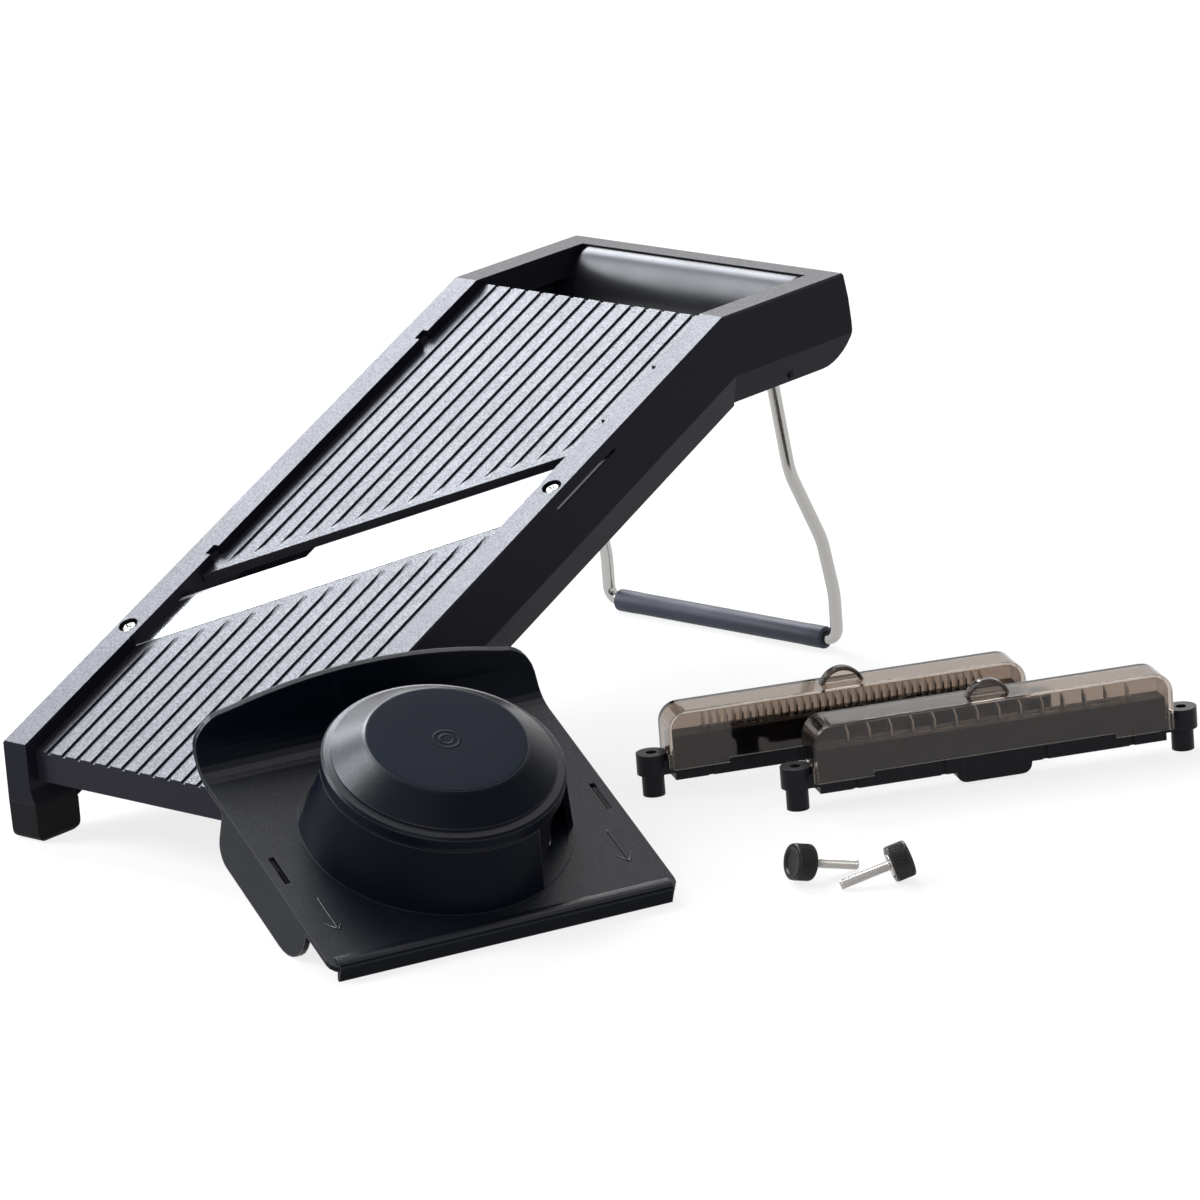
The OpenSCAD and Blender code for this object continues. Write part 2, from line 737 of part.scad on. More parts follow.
module stand_wire() {
    sy = pivot_y + stand_reach;
    color(tin) set_frame() {
        both_sides() {
            translate([leg_x, pivot_y, pivot_z]) rotate([0, 90, 0]) cylinder(r = wire_r, h = pin_end_x - leg_x);
            translate([leg_x, pivot_y, pivot_z]) sphere(bent_r);
            translate([leg_x, 0, 0]) rotate([90, 0, 90]) wire(leg_corners, leg_bend_r);
            translate([leg_x - toe_r, sy, sleeve_z + toe_r]) rotate([90, 0, 0]) rotate([0, 0, -90])
                rotate_extrude(angle = 90) translate([toe_r, 0]) circle(bent_r);
        }
        translate([-sleeve_len / 2 - wire_lap, sy, sleeve_z]) rotate([0, 90, 0])
            cylinder(r = wire_r, h = sleeve_len + 2 * wire_lap);
    }
}

module stand_sleeve() {
    color("#2c313a") set_frame() translate([-sleeve_len / 2 + 0.4, pivot_y + stand_reach, sleeve_z])
        rotate([0, 90, 0]) difference() {
            cylinder(r = sleeve_r, h = sleeve_len - 0.8);
            translate([0, 0, -1]) cylinder(r = wire_r + 0.05, h = sleeve_len + 2);
        }
}

// ---- Thickness dial ----

module thickness_dial() {
    color(black) on_deck() translate([0, dial_s, -cup_d1 - 0.4 - dial_h]) difference() {
        union() {
            cylinder(r = dial_r, h = dial_h - 1.5);
            translate([0, 0, dial_h - 1.5]) cylinder(r = cup_r - 1, h = 1.5);
        }
        for (a = [0:30:330]) rotate([0, 0, a]) translate([dial_r + 1.4, 0, -1]) cylinder(r = 2.6, h = dial_h + 2);
        translate([0, 0, 1.5]) cylinder(r = lead_r + 0.02, h = dial_h);
    }
}

module lead_screw() {
    color(tin) on_deck() translate([0, dial_s, 0]) difference() {
        translate([0, 0, -cup_d1 - 0.4 - dial_h + 1.6])
            cylinder(r = lead_r, h = cup_d1 + 0.4 + dial_h - 1.6 - lead_top_d);
        translate([0, 0, -cup_floor_d + 0.2]) difference() {
            cylinder(r = lead_r + 1, h = 0.9);
            translate([0, 0, -1]) cylinder(r = lead_r - 0.6, h = 3);
        }
    }
}

// Clip in the lead screw's groove, on the floor of the cup
module retaining_clip() {
    color(tin) on_deck() translate([0, dial_s, -cup_floor_d + 0.25]) difference() {
        cylinder(r = 6, h = 0.8);
        translate([0, 0, -1]) cylinder(r = lead_r - 0.55, h = 3);
        translate([-1.6, 0, -1]) cube([3.2, 10, 3]);
    }
}

// ---- Hand guard ----

lip_h = 6.5;
// The front lip rolls up and over in a low round ridge
lip_w = 7;
lip_up = 1.3;
lip_big = (lip_w * lip_w / 4 + lip_up * lip_up) / (2 * lip_up);
lip_a = asin(lip_w / 2 / lip_big);
hub_v = guard_l / 2 + 1;

// Guard frame: x along the front edge, y up the plate, z square to it, 0 on its top face
module on_guard() {
    set_frame() translate([guard_at[0], guard_at[1], lip_h * cos(guard_lean)])
        rotate([0, 0, guard_yaw]) rotate([guard_lean, 0, 0]) children();
}

// Middles of the two finger gaps, in degrees round the hub, and the height of their lower edge
finger_gaps = [-42.5, 137.5];
finger_up = 0.6;

module guard_outline() {
    r = plate_r;
    back_r = 22;
    half = guard_w / 2;
    polygon(concat(arc(half - r, r, r, -90, 0, 4), arc(half - back_r, guard_l + 9 - back_r, back_r, 0, 90, 6),
                   arc(-half + back_r, guard_l + 9 - back_r, back_r, 90, 180, 6), arc(-half + r, r, r, 180, 270, 4)));
}

// Back wall in side view: a round sweep from the plate up to the edge
back_sweep = 16;
back_wall = 27;
module back_wall_2d() {
    polygon(concat([[guard_l - 12, -guard_t], [guard_l - 12, 0]],
                   arc(guard_l - back_sweep + 4, back_sweep, back_sweep, -90, -8, 8),
                   [[guard_l + 8, back_wall], [guard_l + 8 + guard_t, back_wall]],
                   arc(guard_l - back_sweep + 4, back_sweep, back_sweep + guard_t, -8, -90, 8)));
}

// Back wall seen from the front: bowed top edge with round corners
module back_face_2d() {
    half = guard_w / 2;
    top = 19;
    bow = 7;
    r = 14;
    bow_r = ((half - r) * (half - r) + bow * bow) / (2 * bow);
    polygon(concat([[-half, -guard_t - 1], [half, -guard_t - 1]],
                   arc(half - r, top - r, r, 0, 75, 6),
                   arc(0, top + bow - bow_r, bow_r, 90 - asin((half - r - 2) / bow_r),
                       90 + asin((half - r - 2) / bow_r), 14),
                   arc(-half + r, top - r, r, 105, 180, 6)));
}

// Where a side skirt begins and ends, from the front edge and from the back wall, and its roundings
skirt_front = 24;
skirt_back = 26;
skirt_toe_r = 20;
skirt_heel_r = 8;
// Side skirt in side view: deep at the back, swept up to the plate at the front
module guard_skirt_2d() {
    polygon(concat([[skirt_front, -eps], [guard_l - skirt_back, -eps]],
                   arc(guard_l - skirt_back - skirt_heel_r, -guard_skirt + skirt_heel_r, skirt_heel_r, 0, -90, 5),
                   arc(skirt_front + skirt_toe_r, -guard_skirt + skirt_toe_r, skirt_toe_r, -90, -172, 7)));
}

module guard_plate() {
    half = guard_w / 2;
    color("#1e2228") on_guard() {
        difference() {
            union() {
                translate([0, 0, -guard_t]) linear_extrude(guard_t) difference() {
                    guard_outline();
                    translate([-half, guard_l - 6]) square([guard_w, 40]);
                    for (side = [-1, 1]) translate([side * (half - grip_slot_in), hub_v - 5])
                        square([2.5, 16], center = true);
                }
                intersection() {
                    across(-half, half) back_wall_2d();
                    translate([0, guard_l - 30, 0]) run(60) back_face_2d();
                }
                // rolled front lip
                across(-half + 3, half - 3)
                    polygon(concat([[0, -lip_h], [1.2, -lip_h], [guard_t, -guard_t], [lip_w, -guard_t]],
                                   arc(lip_w / 2, lip_up - lip_big, lip_big, 90 - lip_a, 90 + lip_a, 6)));
                // side skirts
                for (side = [-1, 1])
                    translate([side * (half - guard_t / 2), 0, 0]) across(-guard_t / 2, guard_t / 2) guard_skirt_2d();
                translate([0, hub_v, 0]) rotate_extrude($fn = 96)
                    polygon([[collar_r - guard_t, -guard_t], [collar_r, -guard_t], [collar_r, 0],
                             [collar_top_r, collar_h], [collar_top_r - guard_t, collar_h],
                             [collar_r - guard_t, 0.5]]);
                // ring that the cap's sleeve slides in
                translate([0, hub_v, -guard_t]) difference() {
                    cylinder(r = collar_r - 0.5, h = guard_t, $fn = 96);
                    translate([0, 0, -1]) cylinder(r = cap_in_r + 0.4, h = 6, $fn = 96);
                }
            }
            translate([0, hub_v, -guard_t - 1]) cylinder(r = cap_in_r + 0.4, h = guard_t + 2, $fn = 96);
            // finger gaps
            for (a = finger_gaps) translate([0, hub_v, finger_up]) rotate([0, 0, a])
                linear_extrude(collar_h) polygon(concat([[0, 0]], arc(0, 0, collar_r + 1, -finger_a / 2, finger_a / 2, 6)));
        }
    }
}

// The cap's flange rests on the collar; its step in, its height and the thickness of its top
cap_gap = 0.3;
flange_w = 3.6;
flange_h = 5.6;
cap_t = 3;

module guard_cap() {
    seat = collar_h + cap_gap;
    cone_r = cap_r - flange_w;
    cone_z = seat + flange_h;
    color("#1e2228") on_guard() translate([0, hub_v, 0]) rotate_extrude($fn = 96)
        polygon([[0, cap_h], [disc_r, cap_h], [disc_r + 1, cap_h - 0.6],
                 [cone_r, cone_z + 1.6], [cone_r, cone_z + 0.6], [cap_r - 1, cone_z], [cap_r, cone_z - 1],
                 [cap_r, seat], [cap_in_r, seat], [cap_in_r, 2], [cap_in_r - guard_t, 2],
                 [cap_in_r - guard_t, cone_z], [disc_r, cap_h - cap_t], [0, cap_h - cap_t]]);
}

// Length and radius of the spikes, their rings as number and radius, and the disc that carries them
spike_l = 11;
spike_r = 0.9;
spike_rings = [[6, 10], [10, 20]];
spike_disc_r = 24;
spike_tip = 3;
module guard_spikes() {
    top = cap_h - cap_t;
    color(tin) on_guard() translate([0, hub_v, 0]) {
        translate([0, 0, top - 1.7]) cylinder(r = spike_disc_r, h = 1.6);
        for (ring = spike_rings) for (i = [0:ring[0] - 1])
            rotate([0, 0, i * 360 / ring[0]]) translate([ring[1], 0, top - 1.7 - spike_l]) {
                translate([0, 0, spike_tip]) cylinder(r = spike_r, h = spike_l - spike_tip + 0.2, $fn = 24);
                cylinder(r1 = 0.2, r2 = spike_r, h = spike_tip, $fn = 24);
            }
    }
}

// ---- Cassettes ----

module on_cassette(at) { set_frame() translate([at[0], at[1], 0]) rotate([0, 0, cassette_yaw]) children(); }

// Length of a comb, and how deep it sits in its holder
comb_len = cover_len - 28;
comb_in = 7.9;

module cassette_holder(at) {
    half = cover_len / 2 - cover_t - 1;
    color(black) on_cassette(at) difference() {
        union() {
            translate([-half, -holder_w / 2, holder_low]) cube([2 * half, holder_w, holder_h - holder_low]);
            for (side = [-1, 1]) translate([side * post_gap / 2, 0, 0]) {
                cylinder(r = post_r, h = ear_h);
                translate([0, 0, post_h]) cylinder(r = ear_r, h = ear_h - post_h);
                translate([side > 0 ? -10 : 0, -holder_w / 2, post_h]) cube([10, holder_w, ear_h - 3 - post_h]);
            }
            // bottom tab with round corners
            translate([0, holder_w / 2, 0]) rotate([90, 0, 0]) linear_extrude(holder_w)
                polygon(concat(arc(-11.5, 5.5, 4, 180, 270, 4), arc(11.5, 5.5, 4, 270, 360, 4),
                               [[15.5, holder_low + 1], [-15.5, holder_low + 1]]));
        }
        for (side = [-1, 1]) translate([side * post_gap / 2, 0, -1]) cylinder(r = post_bore_r, h = ear_h + 2);
        // slot for the comb and the ribs' notches
        translate([-comb_len / 2 - 0.1, -0.6, holder_h - comb_in - 0.1]) cube([comb_len + 0.2, 1.2, comb_in + 1.1]);
        for (x = [-57, -21, 21, 57] * comb_len / 120) for (y = [-1, 1])
            translate([x - 1, y * holder_w / 2 - 0.8, holder_low - 1]) cube([2, 1.6, 8]);
    }
}

// Comb strip: a strip in the holder's slot with one tooth for each cut
module cassette_teeth(at, pitch) {
    n = floor((comb_len - 2) / pitch);
    tooth_w = 4.5;
    color(tin) on_cassette(at) {
        translate([-comb_len / 2, -0.5, holder_h - comb_in]) cube([comb_len, 1, comb_in - 0.2]);
        for (i = [0:n]) translate([(i - n / 2) * pitch - tooth_t / 2, 0, 0])
            rotate([90, 0, 90]) linear_extrude(tooth_t)
                polygon([[-0.5, holder_h - 1], [0.5, holder_h - 1], [0.5, holder_h + 0.2], [tooth_w - 1.5, holder_h + 0.2],
                         [tooth_w - 1.5, holder_h + tooth_h], [-1, holder_h + tooth_h - 2],
                         [-1, holder_h + 0.2], [-0.5, holder_h + 0.2]]);
    }
}

module cover_2d(inset) {
    half = cover_len / 2 - inset;
    r = cover_r - inset;
    polygon(concat([[half, cover_low - 1]], arc(half - r, cover_h - inset - r, r, 0, 90, 8),
                   arc(-half + r, cover_h - inset - r, r, 90, 180, 8), [[-half, cover_low - 1]]));
}

cover_side = 0.6;
// Thumb tab on a cover: part of a round disc that stands up out of its top
tab_r = 9.5;
tab_w = 3;
tab_low = 3.2;
module cassette_cover(at) {
    color(smoke) on_cassette(at) {
        difference() {
            translate([0, -cover_w / 2, 0]) run(cover_w) intersection() {
                cover_2d(0);
                translate([-big / 2, cover_low]) square(big);
            }
            translate([0, -cover_w / 2 + cover_t, 0]) run(cover_w - 2 * cover_t) cover_2d(cover_t);
            // the ears come in under the ends
            for (side = [-1, 1]) translate([side * post_gap / 2, 0, cover_low - 1])
                cylinder(r = ear_r + cover_side, h = ear_h - cover_low + 1 + cover_side);
            for (side = [-1, 1]) translate([side * (cover_len / 2), 0, (cover_low + ear_h) / 2 - 1])
                cube([14, holder_w + 1, ear_h - cover_low + 1.6], center = true);
            // raised lower edge in the middle
            for (y = [-1, 1]) translate([-50, y * cover_w / 2 - 3, cover_low - 1]) cube([100, 6, 3]);
        }
        // thumb tab
        translate([0, tab_w / 2, cover_h - tab_low]) rotate([90, 0, 0]) intersection() {
            cylinder(r = tab_r, h = tab_w);
            translate([-tab_r, tab_low - 0.1, 0]) cube([2 * tab_r, tab_r, tab_w]);
        }
    }
}

module coarse_holder() { cassette_holder(coarse_at); }
module coarse_teeth() { cassette_teeth(coarse_at, coarse_pitch); }
module coarse_cover() { cassette_cover(coarse_at); }
module fine_holder() { cassette_holder(fine_at); }
module fine_teeth() { cassette_teeth(fine_at, fine_pitch); }
module fine_cover() { cassette_cover(fine_at); }

// ---- Thumb screws ----

head_z = knob_r * cos(screw_lean) + knob_h / 2 * sin(screw_lean);

// Screw frame: z along the screw, 0 in the middle of the head, the shank on the + side
module on_screw(p) {
    set_frame() translate([p[0], p[1], head_z]) rotate([0, 0, p[2]]) rotate([0, 90 + screw_lean, 0]) children();
}

module thumb_head(p) {
    n = 30;
    color("#1a1a1d") on_screw(p) difference() {
        translate([0, 0, -knob_h / 2]) union() {
            cylinder(r1 = knob_r - knob_c, r2 = knob_r, h = knob_c);
            translate([0, 0, knob_c]) cylinder(r = knob_r, h = knob_h - knob_c);
        }
        for (i = [0:n - 1]) rotate([0, 0, i * 360 / n]) translate([knob_r + 0.25, 0, -knob_h])
            cylinder(r = 0.6, h = 2 * knob_h, $fn = 4);
        translate([0, 0, 0.5]) cylinder(r = shank_r + 0.02, h = knob_h);
    }
}

module thumb_shank(p) {
    color(tin) on_screw(p) {
        translate([0, 0, 0.6]) cylinder(r = shank_r, h = knob_h / 2 + shank_len - 1.1);
        translate([0, 0, knob_h / 2 + shank_len - 0.5 - eps]) cylinder(r1 = shank_r, r2 = shank_r - 0.5, h = 0.5 + eps);
        translate([0, 0, knob_h / 2 + 0.05]) cylinder(r = 3.6, h = 0.8);
    }
}

module thumb_head_a() { thumb_head(screw_a); }
module thumb_shank_a() { thumb_shank(screw_a); }
module thumb_head_b() { thumb_head(screw_b); }
module thumb_shank_b() { thumb_shank(screw_b); }

frame();
lower_table();
feed_table();
main_blade();
blade_screws();
foot_left();
foot_right();
thread_inserts();
stand_wire();
stand_sleeve();
thickness_dial();
lead_screw();
retaining_clip();
guard_plate();
guard_cap();
guard_spikes();
coarse_holder();
coarse_teeth();
coarse_cover();
fine_holder();
fine_teeth();
fine_cover();
thumb_head_a();
thumb_shank_a();
thumb_head_b();
thumb_shank_b();
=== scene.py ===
"""A mandoline slicer set on a pale table: finishes, small parts, light and camera."""
import math

import bmesh
import bpy
import numpy as np
from mathutils import Matrix, Vector


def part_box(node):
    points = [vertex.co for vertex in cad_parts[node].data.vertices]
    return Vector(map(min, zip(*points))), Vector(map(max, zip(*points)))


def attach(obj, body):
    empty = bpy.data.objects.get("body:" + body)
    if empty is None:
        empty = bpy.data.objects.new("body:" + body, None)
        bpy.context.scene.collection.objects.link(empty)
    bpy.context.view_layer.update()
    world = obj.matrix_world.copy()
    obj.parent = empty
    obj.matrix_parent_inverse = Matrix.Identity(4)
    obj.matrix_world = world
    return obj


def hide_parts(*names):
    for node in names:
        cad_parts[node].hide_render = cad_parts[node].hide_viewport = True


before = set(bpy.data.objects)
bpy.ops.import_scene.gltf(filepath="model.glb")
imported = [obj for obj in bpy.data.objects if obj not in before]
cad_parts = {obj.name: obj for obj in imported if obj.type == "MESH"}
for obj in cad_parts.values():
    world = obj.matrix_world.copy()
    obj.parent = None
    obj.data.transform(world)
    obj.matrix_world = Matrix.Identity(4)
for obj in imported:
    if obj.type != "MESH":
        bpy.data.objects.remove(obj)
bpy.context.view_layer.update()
MM = 0.001

# ---- Places that the fixed frame gives -------------------------------------------------------
#
# Slicer millimetres: x from the slicer's middle, y from its front edge, z up from the table.

frame_low, frame_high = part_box("frame")
SLICER_X = (frame_low.x + frame_high.x) / 2
SLICER_Y = frame_low.y


def at_slicer(x, y, z):
    """A point given in slicer millimetres, as the frame has it in metres."""
    return Vector((SLICER_X + x * MM, SLICER_Y + y * MM, z * MM))


def turned(axis, degrees):
    """A 3 by 3 rotation about x, y or z."""
    return np.array(Matrix.Rotation(math.radians(degrees), 3, axis))


# The deck's slope and height at the front, and the level handle behind its bend
DECK_TILT = math.radians(23.5)
FRONT_H = 41.0
BEND_Z, END_Y, RIM_W, INNER_X = 162.62, 355.70, 9.2, 61.5
# The blade: its place up the deck and its angle across it
BLADE_S, BLADE_ANGLE = 138.8, math.radians(41.0)
# The stand: its pivot, its legs and the ends of its pins, and its foot
PIVOT_Y, PIVOT_Z = 316.50, 138.02
LEG_X, PIN_END_X = 63.5, 72.2
SLEEVE_Z, TOE_R, WIRE_R = 4.75, 5.5, 2.7
# The thickness screw: its place up the deck, and the depths where its thread starts and ends
LEAD_S, LEAD_LOW, LEAD_HIGH = 250.0, -36.4, -14.3
# The guard: its turn and lean, and the height of its front lip
GUARD_YAW, GUARD_LEAN, LIP_H = 68.4, 23.3, 6.5
# Its cap: the middle's place up the plate, and the disc's height over the plate
HUB_V, DISC_Z = 64.0, 42.16
# The cassettes, and the thumb tab on their covers
COARSE_AT, FINE_AT, CASSETTE_YAW = (225.5, 248.2), (163.3, 233.5), 56.2
TAB_Z, TAB_HALF_W = 31.8, 1.5
# The thumb screws' heads and shanks, and how far they lean as they lie on the table
KNOB_R, KNOB_H, SHANK_R, SHANK_LEN = 7.3, 8.0, 2.0, 20.5
SCREW_LEAN = math.degrees(math.atan((KNOB_R - SHANK_R) / SHANK_LEN))


def on_screw(x, y, turn):
    """A thumb screw's own coordinates as it lies on its rim and its tip: z runs along the shank."""
    lean = math.radians(SCREW_LEAN)
    height = KNOB_R * math.cos(lean) + KNOB_H / 2 * math.sin(lean)
    return turned("Z", turn) @ turned("Y", 90.0 + SCREW_LEAN), np.array((x, y, height))


# Each part's own coordinates: its rotation, and its origin in slicer millimetres; and the cap's
# place in the guard's coordinates, and the direction square to the deck
DECK = (turned("X", math.degrees(DECK_TILT)), np.array((0.0, 0.0, FRONT_H)))
GUARD = (turned("Z", GUARD_YAW) @ turned("X", GUARD_LEAN),
         np.array((186.75, 7.08, LIP_H * math.cos(math.radians(GUARD_LEAN)))))
HUB = np.array((0.0, HUB_V, 0.0))
COARSE = (turned("Z", CASSETTE_YAW), np.array(COARSE_AT + (0.0,)))
FINE = (turned("Z", CASSETTE_YAW), np.array(FINE_AT + (0.0,)))
SCREW_A = on_screw(239.2, 115.1, 67.0)
SCREW_B = on_screw(271.9, 134.6, -125.6)
DECK_UP = tuple(float(c) for c in DECK[0][:, 2])


def carried(points, place):
    """Points of a part's own coordinates, moved to where the part stands."""
    rotation, origin = place
    return points @ rotation.T + origin


# ---- Surfaces --------------------------------------------------------------------------------


def grid_faces(rows, cols, ring):
    """Corner numbers of a grid's faces; columns always close, rows close where ring is true."""
    r, c = np.meshgrid(np.arange(rows if ring else rows - 1), np.arange(cols), indexing="ij")
    up, on = (r + 1) % rows, (c + 1) % cols
    return np.stack((r * cols + c, up * cols + c, up * cols + on, r * cols + on), -1).reshape(-1, 4)


def make_piece(name, grids, finish, body, *nodes, slot=None, sharp=32.0, ring=False):
    """One mesh from closed grids of points in slicer millimetres.

    Poles are welded and faces point outwards. The piece rides on body and stands for nodes.
    """
    points, faces, start = [], [], 0
    for grid in grids:
        rows, cols = grid.shape[:2]
        points.append(grid.reshape(-1, 3))
        faces.append(grid_faces(rows, cols, ring) + start)
        start += rows * cols
    points = np.concatenate(points) * MM + np.array((SLICER_X, SLICER_Y, 0.0))
    mesh = bpy.data.meshes.new(name)
    mesh.from_pydata(points.tolist(), [], np.concatenate(faces).tolist())
    work = bmesh.new()
    work.from_mesh(mesh)
    bmesh.ops.remove_doubles(work, verts=work.verts, dist=1e-7)
    bmesh.ops.recalc_face_normals(work, faces=work.faces)
    work.to_mesh(mesh)
    work.free()
    mesh.shade_smooth()
    mesh.set_sharp_from_angle(angle=math.radians(sharp))
    mesh.materials.append(finish)
    piece = bpy.data.objects.new(name, mesh)
    bpy.context.scene.collection.objects.link(piece)
    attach(piece, body)
    if nodes:
        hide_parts(*nodes)
    return piece


def spun(radius, height, cols):
    """A profile spun round z: x = r cos a, y = r sin a, z = h, for every angle a.

    radius and height are one value a row, or a whole grid where the form changes round the axis.
    """
    a = np.arange(cols) * 2 * np.pi / cols
    r, h = (np.broadcast_to(v if np.ndim(v) == 2 else np.asarray(v)[:, None], (len(v), cols))
            for v in (radius, height))
    return np.stack((r * np.cos(a), r * np.sin(a), h), -1)


def columns(values, cols):
    """One value a row, repeated for every column of a grid."""
    return np.repeat(np.asarray(values)[:, None], cols, 1)


def filleted(corners, radii, steps=10):
    """A path through corners whose inner ones are rounded off by arcs.

    At a corner with directions d and e, the arc starts r tan(t / 2) before it and turns through t
    about the point that lies r to the inner side.
    """
    corners = np.asarray(corners, float)
    path = [corners[:1]]
    for before, corner, after, r in zip(corners[:-2], corners[1:-1], corners[2:], radii):
        d = (corner - before) / np.linalg.norm(corner - before)
        e = (after - corner) / np.linalg.norm(after - corner)
        t = math.acos(float(d @ e))
        side = (e - d * (d @ e)) / math.sin(t)
        start = corner - d * r * math.tan(t / 2)
        a = np.linspace(0.0, t, steps)[:, None]
        path.append(start + r * (np.sin(a) * d + (1 - np.cos(a)) * side))
    path.append(corners[-1:])
    return np.concatenate(path)


def tube(path, radius, cols, reference, end=0.8):
    """A round section carried along a path, its ends rounded over a length end and closed.

    The section's axes are the reference direction made square to the path, and its cross product
    with the path's own direction.
    """
    along = np.gradient(path, axis=0)
    along /= np.linalg.norm(along, axis=1)[:, None]
    q = np.linspace(0.0, 1.0, 5)[:, None]
    first = path[:1] + along[:1] * end * (1 - np.sqrt(1 - (1 - q) ** 2))
    last = path[-1:] - along[-1:] * end * (1 - np.sqrt(1 - (1 - q[::-1]) ** 2))
    radii = np.concatenate((radius - end * (1 - q[:, 0]), np.full(len(path) - 2, radius),
                            radius - end * (1 - q[::-1, 0])))
    path = np.concatenate((path[:1], first, path[1:-1], last, path[-1:]))
    along = np.concatenate((np.repeat(along[:1], 6, 0), along[1:-1], np.repeat(along[-1:], 6, 0)))
    radii = np.concatenate(((0.0,), radii, (0.0,)))
    across = reference - along * (along @ reference)[:, None]
    across /= np.linalg.norm(across, axis=1)[:, None]
    third = np.cross(along, across)
    a = np.arange(cols) * 2 * np.pi / cols
    ring = across[:, None] * np.cos(a)[:, None] + third[:, None] * np.sin(a)[:, None]
    return path[:, None] + radii[:, None, None] * ring


def round_profile(corners, r, steps=6):
    """A closed-off profile of (radius, height) corners with its inner corners rounded by r."""
    flat = np.column_stack((np.asarray(corners, float), np.zeros(len(corners))))
    path = filleted(flat, np.broadcast_to(r, len(corners) - 2), steps)
    return path[:, 0], path[:, 1]


def helix_rod(core, depth, pitch, low, high, cols=24, samples=7, taper=0.8):
    """A threaded rod: the radius falls from core by depth in a V once every pitch.

    The V's place rises by one pitch for each turn round the axis, and the thread fades out over
    taper at both ends, where the rod closes in a chamfer.
    """
    z = np.linspace(low, high, int((high - low) / pitch * samples) + 1)
    a = np.arange(cols) / cols
    wave = np.abs((z[:, None] / pitch - a[None, :]) % 1.0 * 2 - 1)
    fade = np.clip(np.minimum(z - low, high - z) / taper, 0.0, 1.0)[:, None]
    r = core - depth * (0.5 + fade * (wave - 0.5))
    low_cut, high_cut, pole = 0.3, 0.4, np.zeros((1, cols))
    r = np.concatenate((pole, r[:1] - low_cut, r, r[-1:] - high_cut, pole))
    z = z + np.where(z == low, low_cut, 0) - np.where(z == high, high_cut, 0)
    return spun(r, np.concatenate(((low, low), z, (high, high))), cols)


# ---- Shader helpers --------------------------------------------------------------------------


class Tree:
    """A node tree with short calls for adding nodes and joining sockets."""

    def __init__(self, tree):
        self.tree = tree

    def add(self, kind, values=None, **settings):
        """Adds a node, sets its attributes from settings and its inputs from values."""
        node = self.tree.nodes.new(kind)
        for name, value in settings.items():
            setattr(node, name, value)
        for name, value in (values or {}).items():
            self.put(value, node.inputs[name])
        return node

    def put(self, value, socket):
        """Joins a socket to another, or gives it a constant."""
        if isinstance(value, bpy.types.NodeSocket):
            self.tree.links.new(value, socket)
        else:
            socket.default_value = value

    def math(self, operation, a, b=0.0):
        """One arithmetic step on two values."""
        return self.add("ShaderNodeMath", {0: a, 1: b}, operation=operation).outputs[0]

    def dot(self, a, b):
        """The dot product of two vectors."""
        node = self.add("ShaderNodeVectorMath", {0: a, 1: b}, operation="DOT_PRODUCT")
        return node.outputs["Value"]

    def part(self, vector, axis):
        """One component of a vector."""
        return self.add("ShaderNodeSeparateXYZ", {"Vector": vector}).outputs[axis]

    def more(self, value, mask, amount):
        """A value raised by an amount where a mask is 1."""
        return self.math("ADD", value, self.math("MULTIPLY", mask, amount))

    def noise(self, vector, scale, detail=3.0, rough=0.5):
        """Fractal noise from 0 to 1 at a scale in cycles per metre."""
        values = {"Vector": vector, "Scale": scale, "Detail": detail, "Roughness": rough}
        return self.add("ShaderNodeTexNoise", values).outputs["Fac"]

    def ramp(self, fac, low, high, to_low=0.0, to_high=1.0):
        """Maps low..high to to_low..to_high, smoothly and clamped."""
        values = {"Value": fac, "From Min": low, "From Max": high,
                  "To Min": to_low, "To Max": to_high}
        node = self.add("ShaderNodeMapRange", values, interpolation_type="SMOOTHSTEP")
        return node.outputs["Result"]

    def mix(self, fac, a, b):
        """Blends two colours."""
        node = self.add("ShaderNodeMix", data_type="RGBA")
        for name, value in (("Factor", fac), ("A", a), ("B", b)):
            self.put(value, node.inputs[name])
        return node.outputs["Result"]

    def stretched(self, vector, scale, turn=(0.0, 0.0, 0.0)):
        """Object coordinates turned, then stretched, for a pattern that runs one way."""
        values = {"Vector": vector, "Scale": scale, "Rotation": turn}
        return self.add("ShaderNodeMapping", values).outputs[0]


def new_group(name, inputs, outputs):
    """A shader node group with named sockets; returns its tree, its inputs and its output node."""
    group = bpy.data.node_groups.new(name, "ShaderNodeTree")
    for socket, kind, value in inputs:
        item = group.interface.new_socket(socket, in_out="INPUT", socket_type="NodeSocket" + kind)
        if value is not None:
            item.default_value = value
    for socket, kind in outputs:
        group.interface.new_socket(socket, in_out="OUTPUT", socket_type="NodeSocket" + kind)
    tree = Tree(group)
    return tree, tree.add("NodeGroupInput").outputs, tree.add("NodeGroupOutput")


def make_edge_group():
    """Rounded edges: the normal bent over a radius, and a mask that is 1 where it bends."""
    t, given, out = new_group(
        "rounded_edges", [("Radius", "Float", 0.0005), ("Width", "Float", 0.0008)],
        [("Normal", "Vector"), ("Edge", "Float")])
    soft = t.add("ShaderNodeBevel", {"Radius": given["Radius"]}, samples=6)
    wide = t.add("ShaderNodeBevel", {"Radius": given["Width"]}, samples=4)
    flat = t.add("ShaderNodeNewGeometry").outputs["True Normal"]
    t.put(t.ramp(t.dot(wide.outputs[0], flat), 0.995, 0.85), out.inputs["Edge"])
    t.put(soft.outputs[0], out.inputs["Normal"])
    return t.tree


